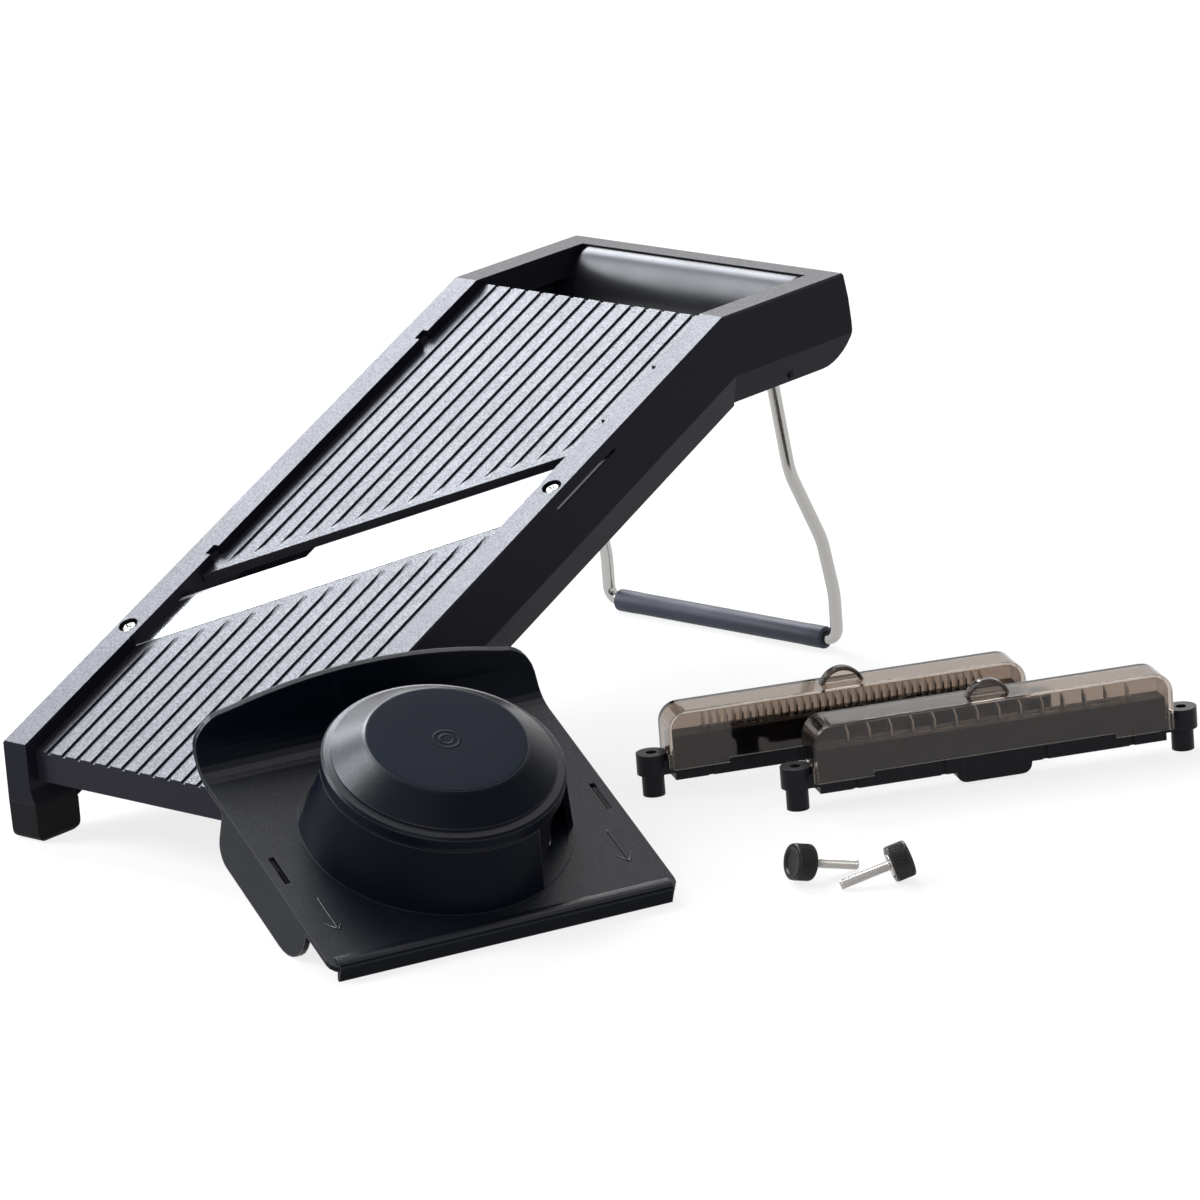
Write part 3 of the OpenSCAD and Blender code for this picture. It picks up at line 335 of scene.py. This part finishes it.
def make_grain_group():
    """Moulded plastic: a fine spark-eroded grain as a normal, and broad patches from 0 to 1."""
    t, given, out = new_group(
        "moulded_grain",
        [("Vector", "Vector", None), ("Normal", "Vector", None), ("Grain", "Float", 2600.0),
         ("Depth", "Float", 0.00002)],
        [("Normal", "Vector"), ("Patches", "Float")])
    fine = t.noise(given["Vector"], given["Grain"], 2.0, 0.6)
    broad = t.noise(given["Vector"], 26.0, 4.0, 0.55)
    bump = t.add("ShaderNodeBump", {"Height": fine, "Distance": given["Depth"],
                                    "Normal": given["Normal"], "Strength": 1.0})
    t.put(bump.outputs[0], out.inputs["Normal"])
    t.put(t.ramp(broad, 0.3, 0.7), out.inputs["Patches"])
    return t.tree


def make_smudge_group():
    """Handling marks: thin crossed scratches and soft smudges, each from 0 to 1."""
    t, given, out = new_group(
        "handling_marks", [("Vector", "Vector", None), ("Scale", "Float", 1.0)],
        [("Scratches", "Float"), ("Smudges", "Float")])
    values = {0: given["Vector"], 3: given["Scale"]}
    scaled = t.add("ShaderNodeVectorMath", values, operation="SCALE").outputs[0]
    length, lines = 14.0, 0.0
    for turn, stretch in ((0.5, 900.0), (2.1, 700.0), (1.2, 1100.0)):
        along = t.stretched(scaled, (stretch, length, length), (0.3, 0.2, turn))
        lines = t.math("MAXIMUM", t.ramp(t.noise(along, 1.0, 1.0, 0.4), 0.72, 0.80), lines)
    t.put(lines, out.inputs["Scratches"])
    t.put(t.ramp(t.noise(scaled, 45.0, 3.0, 0.6), 0.52, 0.75), out.inputs["Smudges"])
    return t.tree


def make_brush_group():
    """Brushed steel: lines along one direction, as a value around 0.5 and as a normal."""
    t, given, out = new_group(
        "brushed_lines",
        [("Vector", "Vector", None), ("Normal", "Vector", None), ("Depth", "Float", 0.00001)],
        [("Lines", "Float"), ("Normal", "Vector")])
    lines = t.noise(t.stretched(given["Vector"], (1.0, 90.0, 90.0)), 60.0, 3.0, 0.7)
    bump = t.add("ShaderNodeBump", {"Height": lines, "Distance": given["Depth"],
                                    "Normal": given["Normal"]})
    t.put(lines, out.inputs["Lines"])
    t.put(bump.outputs[0], out.inputs["Normal"])
    return t.tree


EDGES = make_edge_group()
GRAIN = make_grain_group()
MARKS = make_smudge_group()
BRUSH = make_brush_group()


def rgba(colour, scale=1.0, lift=0.0):
    """A finish's colour, made paler or darker by a scale and a lift, with full alpha."""
    return tuple(min(1.0, c * scale + lift) for c in colour) + (1.0,)


def start_material(name):
    """An empty material; returns it with its tree and its Principled shader."""
    mat = bpy.data.materials.new(name)
    mat.use_nodes = True
    mat.node_tree.nodes.clear()
    tree = Tree(mat.node_tree)
    shader = tree.add("ShaderNodeBsdfPrincipled")
    out = tree.add("ShaderNodeOutputMaterial")
    tree.put(shader.outputs[0], out.inputs["Surface"])
    return mat, tree, shader


def use_group(tree, group, **values):
    """Places a node group in a material and gives it its values."""
    node = tree.add("ShaderNodeGroup", node_tree=group)
    for name, value in values.items():
        tree.put(value, node.inputs[name])
    return node.outputs


def plastic(name, colour, rough, gloss=0.3, edge=0.0005, grain=2600.0, depth=0.00002, wear_and_sheen=1.6,
            coat=0.0, mottle=0.4, edge_shine=0.0):
    """Moulded plastic: grain, gloss patches, faint marks, and rounded edges a little paler.

    The paler edges are partly wear and partly a painted highlight; scratches are paled by the same
    scale. Faces that look up have a satin skin of weight coat, speckled by the grain as far as
    mottle says; side walls stay matt. Edges are polished by handling to a skin of weight
    edge_shine.
    """
    mat, t, shader = start_material(name)
    place = t.add("ShaderNodeTexCoord").outputs["Object"]
    edges = use_group(t, EDGES, Radius=edge, Width=edge * 1.6)
    skin = use_group(t, GRAIN, Vector=place, Normal=edges["Normal"], Grain=grain, Depth=depth)
    marks = use_group(t, MARKS, Vector=place, Scale=1.0)
    pale = rgba(colour, wear_and_sheen, 0.004)
    dusty = t.mix(t.math("MULTIPLY", marks["Scratches"], 0.25), rgba(colour), pale)
    # painted highlight, partly wear: the rounded edges are blended towards the pale colour
    tone = t.mix(t.math("MULTIPLY", edges["Edge"], 0.6), dusty, pale)
    t.put(tone, shader.inputs["Base Color"])
    patchy = 0.05
    gloss_map = t.more(rough - patchy / 2, skin["Patches"], patchy)
    gloss_map = t.more(gloss_map, marks["Smudges"], 0.05)
    t.put(t.more(gloss_map, marks["Scratches"], 0.08), shader.inputs["Roughness"])
    t.put(skin["Normal"], shader.inputs["Normal"])
    shader.inputs["Specular IOR Level"].default_value = gloss
    if coat or edge_shine:
        up = t.part(t.add("ShaderNodeTexCoord").outputs["Normal"], "Z")
        specks = t.noise(place, grain * 0.45, 2.0, 0.7)
        skin_weight = t.ramp(specks, 0.35, 0.65, coat * (1 - mottle), coat * (1 + mottle))
        level = t.math("MULTIPLY", t.ramp(up, 0.55, 0.85), skin_weight)
        if edge_shine:
            level = t.math("MAXIMUM", level, t.math("MULTIPLY", edges["Edge"], edge_shine))
        t.put(level, shader.inputs["Coat Weight"])
        shader.inputs["Coat Roughness"].default_value = rough - 0.03
    return mat


def rubber(name, colour, rough, gloss):
    """Soft rubber: matt, with a fine powdery mottling."""
    mat, t, shader = start_material(name)
    place = t.add("ShaderNodeTexCoord").outputs["Object"]
    edges = use_group(t, EDGES, Radius=0.0008, Width=0.001)
    skin = use_group(t, GRAIN, Vector=place, Normal=edges["Normal"], Grain=1500.0, Depth=0.00006)
    powder = t.math("MULTIPLY", skin["Patches"], 0.5)
    t.put(t.mix(powder, rgba(colour), rgba(colour, 1.7, 0.002)), shader.inputs["Base Color"])
    t.put(t.more(rough, skin["Patches"], 0.12), shader.inputs["Roughness"])
    t.put(skin["Normal"], shader.inputs["Normal"])
    shader.inputs["Specular IOR Level"].default_value = gloss
    return mat


def shade_past_ends(t, place):
    """Painted shade on the blade's cut ends beside the rails, from the distance to the slicer's
    middle.
    """
    away = t.math("ABSOLUTE", t.math("SUBTRACT", t.part(place, "X"), SLICER_X))
    return t.ramp(away, 66.0 * MM, 66.5 * MM)


def shade_below_heads(t, place):
    """Painted shade deeper under the deck than the screws' heads, such as the crosses' floor."""
    surface = float(at_slicer(*DECK[1]) @ Vector(DECK_UP))
    height = t.math("SUBTRACT", t.dot(place, DECK_UP), surface)
    return t.ramp(height, -0.00105, -0.00130)


def steel(name, colour, rough, turn=(0.0, 0.0, 0.0), depth=0.00001, painted_shade=None, ground=False):
    """Bright steel with fine lines along the local x of the turned coordinates.

    The function given after depth returns a mask of painted shade, where the metal's colour is
    darkened to a fifth. Where ground is true, faces that lean away from the deck's slope, such as
    the bevel, have a pale matt grind.
    """
    mat, t, shader = start_material(name)
    place = t.add("ShaderNodeTexCoord").outputs["Object"]
    smooth = t.add("ShaderNodeNewGeometry").outputs["Normal"]
    along = t.stretched(place, (1.0, 1.0, 1.0), turn)
    brush = use_group(t, BRUSH, Vector=along, Normal=smooth, Depth=depth)
    tone = t.mix(brush["Lines"], rgba(colour, 0.86), rgba(colour))
    gloss_map = t.more(rough - 0.05, brush["Lines"], 0.10)
    shader.inputs["Metallic"].default_value = 1.0
    if painted_shade:
        # painted shade: where the mask is 1 the metal's colour is darkened to a fifth
        tone = t.mix(painted_shade(t, place), tone, rgba(colour, 0.2))
    if ground:
        face = t.add("ShaderNodeTexCoord").outputs["Normal"]
        bevel = t.ramp(t.math("ABSOLUTE", t.dot(face, DECK_UP)), 0.998, 0.985)
        metal = t.math("SUBTRACT", 1.0, t.math("MULTIPLY", bevel, 0.85))
        t.put(metal, shader.inputs["Metallic"])
        gloss_map = t.more(gloss_map, bevel, 0.25)
    t.put(tone, shader.inputs["Base Color"])
    t.put(gloss_map, shader.inputs["Roughness"])
    t.put(brush["Normal"], shader.inputs["Normal"])
    return mat


def smoke_clear(name, colour, rough):
    """Smoke-coloured clear plastic, hazy in patches, with painted shade along its rounded edges."""
    mat, t, shader = start_material(name)
    place = t.add("ShaderNodeTexCoord").outputs["Object"]
    edges = use_group(t, EDGES, Radius=0.0006, Width=0.001)
    haze = t.noise(place, 60.0, 3.0, 0.5)
    t.put(t.more(rough, haze, 0.06), shader.inputs["Roughness"])
    tone = t.mix(haze, rgba(colour), rgba(colour, 1.12))
    # painted shade: rounded edges darkened to stand in for the dark outline that refraction gives
    # there
    tone = t.mix(t.math("MULTIPLY", edges["Edge"], 0.85), tone, rgba(colour, 0.12))
    t.put(tone, shader.inputs["Base Color"])
    t.put(edges["Normal"], shader.inputs["Normal"])
    shader.inputs["Transmission Weight"].default_value = 1.0
    shader.inputs["IOR"].default_value = 1.40
    return mat


# The blade's lines run along it: the turn that undoes its angle and the deck's slope
BLADE_TURN = (-DECK_TILT, 0.0, -BLADE_ANGLE)

frame_black = plastic("frame_black", (0.0068, 0.0065, 0.0108), 0.33, gloss=0.065, coat=0.33)
table_black = plastic("table_black", (0.0115, 0.0115, 0.0158), 0.33, gloss=0.08, grain=3200.0,
                      depth=0.000016, coat=0.33, mottle=0.75)
grip_black = plastic("grip_black", (0.010, 0.010, 0.013), 0.36, gloss=0.45, depth=0.00001)
guard_black = plastic("guard_black", (0.0018, 0.0027, 0.0058), 0.34, gloss=0.05, edge=0.0007,
                      wear_and_sheen=2.2, coat=0.68, mottle=0.15, edge_shine=0.6)
disc_black = plastic("disc_black", (0.0072, 0.0098, 0.0158), 0.50, gloss=0.035, grain=1500.0,
                     depth=0.00003)
knob_black = plastic("knob_black", (0.0030, 0.0030, 0.0038), 0.30, gloss=0.28, edge=0.0002)
holder_black = plastic("holder_black", (0.0075, 0.0075, 0.0105), 0.40, gloss=0.12, coat=0.06)
foot_rubber = rubber("foot_rubber", (0.0030, 0.0030, 0.0040), 0.60, 0.10)
sleeve_rubber = rubber("sleeve_rubber", (0.015, 0.017, 0.028), 0.45, 0.30)
blade_steel = steel("blade_steel", (0.70, 0.71, 0.73), 0.17, BLADE_TURN, painted_shade=shade_past_ends,
                    ground=True)
comb_steel = steel("comb_steel", (0.62, 0.62, 0.62), 0.28)
wire_steel = steel("wire_steel", (0.47, 0.46, 0.44), 0.16, depth=0.000004)
screw_steel = steel("screw_steel", (0.42, 0.41, 0.39), 0.20, depth=0.000004, painted_shade=shade_below_heads)
thread_steel = steel("thread_steel", (0.46, 0.44, 0.42), 0.24, depth=0.000004)
insert_brass = steel("insert_brass", (0.72, 0.55, 0.28), 0.25)
smoke = smoke_clear("smoke_cover", (0.47, 0.405, 0.355), 0.01)
smoke_rim = smoke_clear("smoke_rim", (0.20, 0.17, 0.15), 0.02)

NODE_FINISH = {
    "frame": frame_black, "lower_table": table_black, "feed_table": table_black,
    "main_blade": blade_steel, "blade_screws": screw_steel, "thread_inserts": insert_brass,
    "foot_left": foot_rubber, "foot_right": foot_rubber,
    "stand_wire": wire_steel, "stand_sleeve": sleeve_rubber,
    "thickness_dial": knob_black, "lead_screw": thread_steel, "retaining_clip": thread_steel,
    "guard_plate": guard_black, "guard_cap": guard_black, "guard_spikes": wire_steel,
    "coarse_holder": holder_black, "coarse_teeth": comb_steel, "coarse_cover": smoke,
    "fine_holder": holder_black, "fine_teeth": comb_steel, "fine_cover": smoke,
    "thumb_head_a": knob_black, "thumb_shank_a": thread_steel,
    "thumb_head_b": knob_black, "thumb_shank_b": thread_steel,
}


def finish_nodes():
    """Gives every carried-over node its finish."""
    for name, mat in NODE_FINISH.items():
        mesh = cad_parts[name].data
        mesh.materials.clear()
        mesh.materials.append(mat)


finish_nodes()

# ---- Stand -----------------------------------------------------------------------------------


def make_stand():
    """The stand's wire, bent in one piece, and the rubber sleeve on its cross bar.

    The wire is a round section carried along its rounded corners; the sleeve is a long thin loop
    of (radius, height) with round, slightly swollen ends, spun round the bar.
    """
    foot_y = PIVOT_Y + 32
    leg = [(LEG_X, y, z) for y, z in ((PIVOT_Y, PIVOT_Z), (PIVOT_Y + 9, 84), (PIVOT_Y + 26.5, 50),
                                      (foot_y, 25), (foot_y, SLEEVE_Z))]
    right = [(PIN_END_X, PIVOT_Y, PIVOT_Z)] + leg
    left = [(-x, y, z) for x, y, z in reversed(right)]
    pin_bend, leg_bend = 2.8, 36
    bends = [pin_bend, leg_bend, leg_bend, leg_bend, TOE_R]
    path = filleted(right + left, bends + bends[::-1])
    wire = tube(path, WIRE_R, 20, np.array((0.0, 1.0, 0.0)), 0.5)
    make_piece("stand_wire_bent", [wire], wire_steel, "stand", "stand_wire", slot="bright_steel",
               sharp=60.0)

    half, outer, inner = 57.6, 4.75, WIRE_R + 0.05
    slim, swell, blend = outer - 0.12, 8, 12
    edge_in, edge_out, soft = 0.35, 0.9, 4
    wall = round_profile(
        [(inner, 0), (inner, half), (outer, half), (outer, half - swell), (slim, half - blend),
         (slim, -half + blend), (outer, -half + swell), (outer, -half), (inner, -half), (inner, 0)],
        [edge_in, edge_out, soft, soft, soft, soft, edge_out, edge_in])
    sleeve = spun(*wall, 40) @ turned("Y", 90.0).T + np.array((0.0, foot_y, SLEEVE_Z))
    make_piece("sleeve_rounded", [sleeve], sleeve_rubber, "stand", "stand_sleeve",
               slot="grey_rubber", sharp=50.0, ring=True)


# ---- Screws ----------------------------------------------------------------------------------


def make_blade_screws():
    """Two cross-head screws: a low dome with a cross pressed into it.

    The dome falls with the square of the radius, and faster near its rim. The cross is where
    either of two crossed boxes holds a point; its walls slope down to a floor that rises a
    little from the middle outwards.
    """
    cols, arm_l, arm_w, slope_w = 96, 1.9, 0.5, 0.22
    sink, crown, edge_fall, edge_at, edge_w = 0.55, 0.42, 0.25, 2.6, 0.37
    cross_deep, floor_rise, floor_r = 0.85, 0.35, 1.7
    r = np.concatenate((np.linspace(0.0, 2.1, 22), np.linspace(2.2, 2.75, 4), (2.9, 2.97)))
    a = np.arange(cols) * 2 * np.pi / cols
    out = r[:, None]
    x, y = np.abs(out * np.cos(a)), np.abs(out * np.sin(a))
    arm = np.minimum(np.maximum(x - arm_l, y - arm_w), np.maximum(y - arm_l, x - arm_w))
    slope = np.clip(-arm / slope_w, 0.0, 1.0)
    dome = (-sink - crown * (out / 3.0) ** 2
            - edge_fall * np.clip((out - edge_at) / edge_w, 0, 1) ** 2)
    top = dome - cross_deep * slope * (1.0 - floor_rise * np.clip(out / floor_r, 0, 1))
    low_r, low_z = (3.0, 3.0, 1.5, 1.5, 1.2, 0.0), (-1.4, -2.28, -2.28, -10.6, -11.2, -11.2)
    screw = spun(np.concatenate((columns(r, cols), columns(low_r, cols))),
                 np.concatenate((top, columns(low_z, cols))), cols)
    beside, behind, grids = 68.0, 4.0, []
    for x in (-beside, beside):
        s = BLADE_S + x * math.tan(BLADE_ANGLE) - behind / math.cos(BLADE_ANGLE)
        grids.append(carried(screw + np.array((x, s, 0.0)), DECK))
    make_piece("cross_head_screws", grids, screw_steel, "slicer", "blade_screws",
               slot="bright_steel", sharp=40.0)


def make_thumb_screw(tag, place, body):
    """A knurled head with a dished face, and a threaded shank with a flange under the head.

    The diamond knurl is the smaller of two families of ridges that wind opposite ways round the
    side, faded out at its rims.
    """
    cols, ridges, wind, half = 240, 40, 2.4, 3.3
    side_r, ridge_deep, rim_deep, fade_w = 7.17, 0.42, 0.12, 0.5
    z = np.linspace(-half, half, 45)[:, None]
    a = np.arange(cols)[None, :] / cols
    ridge = np.minimum(*(np.abs((a * ridges + way * z / wind) % 1.0 * 2 - 1) for way in (1, -1)))
    fade = np.clip((half - np.abs(z)) / fade_w, 0.0, 1.0)
    side = side_r - ridge_deep * fade * np.clip(1.6 * ridge, 0, 1) - rim_deep * (1 - fade)
    face, rim_r, lip_r = KNOB_H / 2, 6.95, 7.05
    top = round_profile([(0, -3.35), (4.6, -3.35), (5.4, -face), (rim_r, -face), (lip_r, -3.4)],
                        [0.5, 0.4, 0.6])
    low = round_profile([(lip_r, 3.4), (rim_r, face), (5.2, face), (4.9, 3.2), (2.01, 3.2)],
                        [0.6, 0.3, 0.3])
    low = np.append(low[0], 0.0), np.append(low[1], 3.2)
    head = spun(np.concatenate((columns(top[0], cols), side, columns(low[0], cols))),
                np.concatenate((columns(top[1], cols), columns(z[:, 0], cols),
                                columns(low[1], cols))), cols)
    make_piece(f"knurled_head_{tag}", [carried(head, place)], knob_black, body,
               f"thumb_head_{tag}", slot="knob_plastic", sharp=32.0)
    flange = round_profile([(0, 3.25), (4.5, 3.25), (4.5, 4.15), (3.4, 4.6), (0, 4.6)],
                           [0.2, 0.3, 0.3])
    thread = helix_rod(SHANK_R, depth=0.30, pitch=0.7, low=4.3, high=24.45)
    make_piece(f"threaded_shank_{tag}",
               [carried(thread, place), carried(spun(*flange, 40), place)],
               thread_steel, body, f"thumb_shank_{tag}", slot="bright_steel", sharp=50.0)


def make_lead_screw():
    """The coarse thread of the thickness screw, between the feed table and the dial."""
    screw = helix_rod(3.5, depth=0.6, pitch=4.0, low=LEAD_LOW, high=LEAD_HIGH, cols=32,
                      samples=16, taper=1.0)
    make_piece("lead_thread", [carried(screw + np.array((0.0, LEAD_S, 0.0)), DECK)], thread_steel,
               "thickness_screw", "lead_screw", slot="bright_steel", sharp=50.0)


# ---- Hand guard ------------------------------------------------------------------------------


def bead(path, width, rise):
    """A low raised line: a half-round section carried along a flat path, thinned to its ends.

    At each point the section runs across the path: width / 2 times cos a to the side, and rise
    times sin a up, for a from 0 to 360 degrees.
    """
    along = np.gradient(path, axis=0)
    along /= np.linalg.norm(along, axis=1)[:, None]
    across = np.column_stack((-along[:, 1], along[:, 0], np.zeros(len(path))))
    a = (np.arange(12) * 2 * np.pi / 12)[:, None]
    size = np.concatenate(((0.0,), np.ones(len(path) - 2), (0.0,)))[:, None, None]
    section = across[:, None] * np.cos(a) * width / 2 + np.array((0, 0, 1.0)) * np.sin(a) * rise
    return path[:, None] + section * size


def make_push_arrows():
    """Raised arrows on the guard's plate that show the way to push."""
    beside, back, front, lift = 61.0, 40.0, 21.0, 0.02
    tip, barb, barb_w, line_w, rise = 20.5, 26.5, 4.2, 0.9, 0.28
    grids = []
    for x in (-beside, beside):
        shaft = np.linspace((x, back, lift), (x, front, lift), 24)
        head = filleted([(x - barb_w, barb, lift), (x, tip, lift), (x + barb_w, barb, lift)],
                        [0.4], 6)
        grids += [carried(bead(line, line_w, rise), GUARD) for line in (shaft, head)]
    make_piece("push_arrows", grids, guard_black, "guard", slot="guard_plastic", sharp=60.0)


def make_disc():
    """Two low rings round the middle of the cap's disc, and the disc's face as a thin inlay.

    A ring is the loop (radius + w cos b, rise sin b) spun round the cap's axis.
    """
    a = np.linspace(0.0, 2 * np.pi, 73)[:-1, None]
    b = np.arange(10) * 2 * np.pi / 10
    rings = []
    for radius, rise in ((5.0, 0.05), (2.6, 0.04)):
        r = radius + 0.7 * np.cos(b)
        ring = np.stack((r * np.cos(a), r * np.sin(a), rise * np.sin(b) + 0 * a), -1)
        rings.append(carried(ring + np.array((0.0, HUB_V, DISC_Z)), GUARD))
    make_piece("disc_ring", rings, disc_black, "guard_pusher", slot="guard_plastic", sharp=60.0,
               ring=True)
    r = np.array((0.0, 10.0, 20.0, 30.0, 30.5, 30.75, 30.85, 30.85, 0.0))
    h = np.array((DISC_Z, DISC_Z, DISC_Z, DISC_Z, 42.13, 42.06, 41.9, 41.5, 41.5))
    make_piece("disc_face", [carried(spun(r, h, 120) + HUB, GUARD)], disc_black, "guard_pusher",
               slot="guard_plastic", sharp=50.0)


def make_cup_rim():
    """The pusher's lower rim, which closes the plate's hole: a loop of (radius, height), spun."""
    inner, outer, lip, top, under = 41.3, 43.5, 43.9, 3.0, -2.0
    start = (lip, under + 1.0)
    ring = round_profile([start, (lip, -0.3), (outer, 0.1), (outer, top), (inner, top),
                          (inner, under), (lip, under), start], [0.1, 0.1, 0.3, 0.3, 0.8, 0.6])
    make_piece("cup_rim", [carried(spun(*ring, 96) + HUB, GUARD)], guard_black, "guard_pusher",
               slot="guard_plastic", sharp=50.0, ring=True)


# ---- Handle and covers -----------------------------------------------------------------------


def make_grip():
    """The grip's rounded inner side: a bulge under the rim, carried across the handle.

    Its section is part of an ellipse, y = -a sin t and z = b cos t for t from 0 to 135 degrees,
    closed inside the bar. Over a length at each end, a and b shrink along a quarter circle.
    """
    length, end, deep, high, drop, least = INNER_X - 0.1, 4.5, 11.0, 17.2, 18.0, 0.62
    q = np.linspace(0.0, 1.0, 10)
    middle = np.linspace(-length + end, length - end, 24)[1:-1]
    x = np.concatenate(((-length,), -length + end * q, middle, length - end * q[::-1], (length,)))
    near = np.clip((length - np.abs(x)) / end, 0.0, 1.0)
    size = least + (1.0 - least) * np.sqrt(1 - (1 - near) ** 2)
    size[[0, -1]] = 0.0
    t = np.radians(np.linspace(0.0, 135.0, 46))
    y = np.concatenate((-deep * np.sin(t), (1.0, 1.2)))
    z = np.concatenate((high * np.cos(t), (-9.0, high - 0.6)))
    back = np.concatenate((np.zeros(46), np.ones(2)))
    y_size = np.where(back > 0, np.sign(size)[:, None], size[:, None])
    grid = np.stack((np.broadcast_to(x[:, None], (len(x), len(y))), END_Y - RIM_W + y * y_size,
                     BEND_Z - drop + z * size[:, None]), -1)
    make_piece("grip_bulge", [grid], grip_black, "slicer", slot="black_plastic", sharp=50.0)


def make_tab_rims():
    """The thick round rim on both faces of each cover's thumb tab: a bead along an arc."""
    tab_r, rim_r, side = 8.6, 0.75, np.array((0.0, 1.0, 0.0))
    a = np.radians(np.linspace(19.0, 161.0, 40))
    arc = np.stack((tab_r * np.cos(a), 0 * a, TAB_Z + tab_r * np.sin(a)), -1)
    for tag, place, body in (("coarse", COARSE, "coarse_cover"), ("fine", FINE, "fine_cover")):
        rims = [carried(tube(arc + side * shift, rim_r, 14, side, 0.3), place)
                for shift in (-TAB_HALF_W, TAB_HALF_W)]
        make_piece(f"tab_rim_{tag}", rims, smoke_rim, body, slot="smoke_cover", sharp=60.0)


make_stand()
make_blade_screws()
make_thumb_screw("a", SCREW_A, "thumb_screw_a")
make_thumb_screw("b", SCREW_B, "thumb_screw_b")
make_push_arrows()
make_disc()
make_cup_rim()
make_grip()
make_tab_rims()
make_lead_screw()

# ---- Table, light and camera -----------------------------------------------------------------


def shown_rays(t):
    """1 for rays that the camera, gloss or glass shows, 0 for rays that only carry light."""
    seen = t.add("ShaderNodeLightPath").outputs
    rays = t.math("MAXIMUM", seen["Is Camera Ray"], seen["Is Glossy Ray"])
    return t.math("MAXIMUM", rays, seen["Is Transmission Ray"])


def make_floor():
    """A pale table that keeps a soft shadow and reads white to the camera, gloss and glass."""
    mat, t, shader = start_material("table_white")
    shader.inputs["Base Color"].default_value = (0.80, 0.80, 0.80, 1.0)
    shader.inputs["Roughness"].default_value = 0.9
    shader.inputs["Specular IOR Level"].default_value = 0.1
    glow = t.add("ShaderNodeEmission", {"Color": (1.0, 1.0, 1.0, 1.0), "Strength": 1.0})
    share = t.math("MULTIPLY", shown_rays(t), 0.80)
    mixed = t.add("ShaderNodeMixShader", {"Fac": share, 1: shader.outputs[0], 2: glow.outputs[0]})
    t.put(mixed.outputs[0], t.tree.nodes["Material Output"].inputs["Surface"])
    half = 7.0
    mesh = bpy.data.meshes.new("floor")
    corners = [(-half, -half, 0), (half, -half, 0), (half, half, 0), (-half, half, 0)]
    mesh.from_pydata(corners, [], [(0, 1, 2, 3)])
    mesh.materials.append(mat)
    floor = bpy.data.objects.new("floor", mesh)
    bpy.context.scene.collection.objects.link(floor)


def make_world():
    """Even studio surroundings, white to the camera, gloss and glass, and dimmer as light."""
    world = bpy.data.worlds.new("studio")
    world.use_nodes = True
    world.node_tree.nodes.clear()
    t = Tree(world.node_tree)
    fill = 0.45
    strength = t.more(fill, shown_rays(t), 1.0 - fill)
    sky = t.add("ShaderNodeBackground", {"Color": (1.0, 1.0, 1.0, 1.0), "Strength": strength})
    t.put(sky.outputs[0], t.add("ShaderNodeOutputWorld").inputs["Surface"])
    bpy.context.scene.world = world


def softbox(name, direction, distance, width, height, power, colour):
    """A rectangular lamp at a distance from the slicer's middle, in a direction, facing it."""
    middle = at_slicer(0, 190, 100)
    lamp = bpy.data.lights.new(name, "AREA")
    lamp.shape = "RECTANGLE"
    lamp.size = width
    lamp.size_y = height
    lamp.energy = power
    lamp.color = colour
    obj = bpy.data.objects.new(name, lamp)
    away = Vector(direction).normalized()
    obj.location = middle + away * distance
    obj.rotation_euler = (-away).to_track_quat("-Z", "Y").to_euler()
    bpy.context.scene.collection.objects.link(obj)


def make_camera():
    """A long lens from the front right, a little above, tilted slightly over."""
    azimuth, elevation, roll = math.radians(42.73), math.radians(16.84), math.radians(-4.5)
    aim, distance = at_slicer(58.64, 209.84, 60.0), 2.97877
    ahead = Vector((-math.sin(azimuth) * math.cos(elevation),
                    math.cos(azimuth) * math.cos(elevation), -math.sin(elevation)))
    right = ahead.cross(Vector((0, 0, 1))).normalized()
    up = right.cross(ahead)
    turned_right = right * math.cos(roll) + up * math.sin(roll)
    turned_up = -right * math.sin(roll) + up * math.cos(roll)
    lens = bpy.data.cameras.new("camera")
    lens.lens = 221.68
    lens.sensor_width = 36.0
    lens.clip_end = 50.0
    obj = bpy.data.objects.new("camera", lens)
    rows = Matrix((turned_right, turned_up, -ahead)).transposed()
    obj.matrix_world = Matrix.Translation(aim - ahead * distance) @ rows.to_4x4()
    bpy.context.scene.collection.objects.link(obj)
    bpy.context.scene.camera = obj


make_floor()
make_world()
make_camera()
cool, cooler, white = (0.90, 0.94, 1.0), (0.87, 0.91, 1.0), (1.0, 1.0, 1.0)
softbox("key", (-0.649, 0.268, 0.711), 2.4, 1.0, 1.0, 56.0, cooler)
softbox("left_side", (-0.649, -0.50, 0.55), 2.4, 1.0, 2.1, 80.0, cool)
softbox("low_back", (-0.60, 0.65, 0.56), 2.6, 1.2, 0.8, 20.0, white)
softbox("front_fill", (0.55, -0.75, 0.60), 2.6, 1.4, 1.4, 14.0, white)
bpy.context.scene.view_settings.view_transform = "Standard"
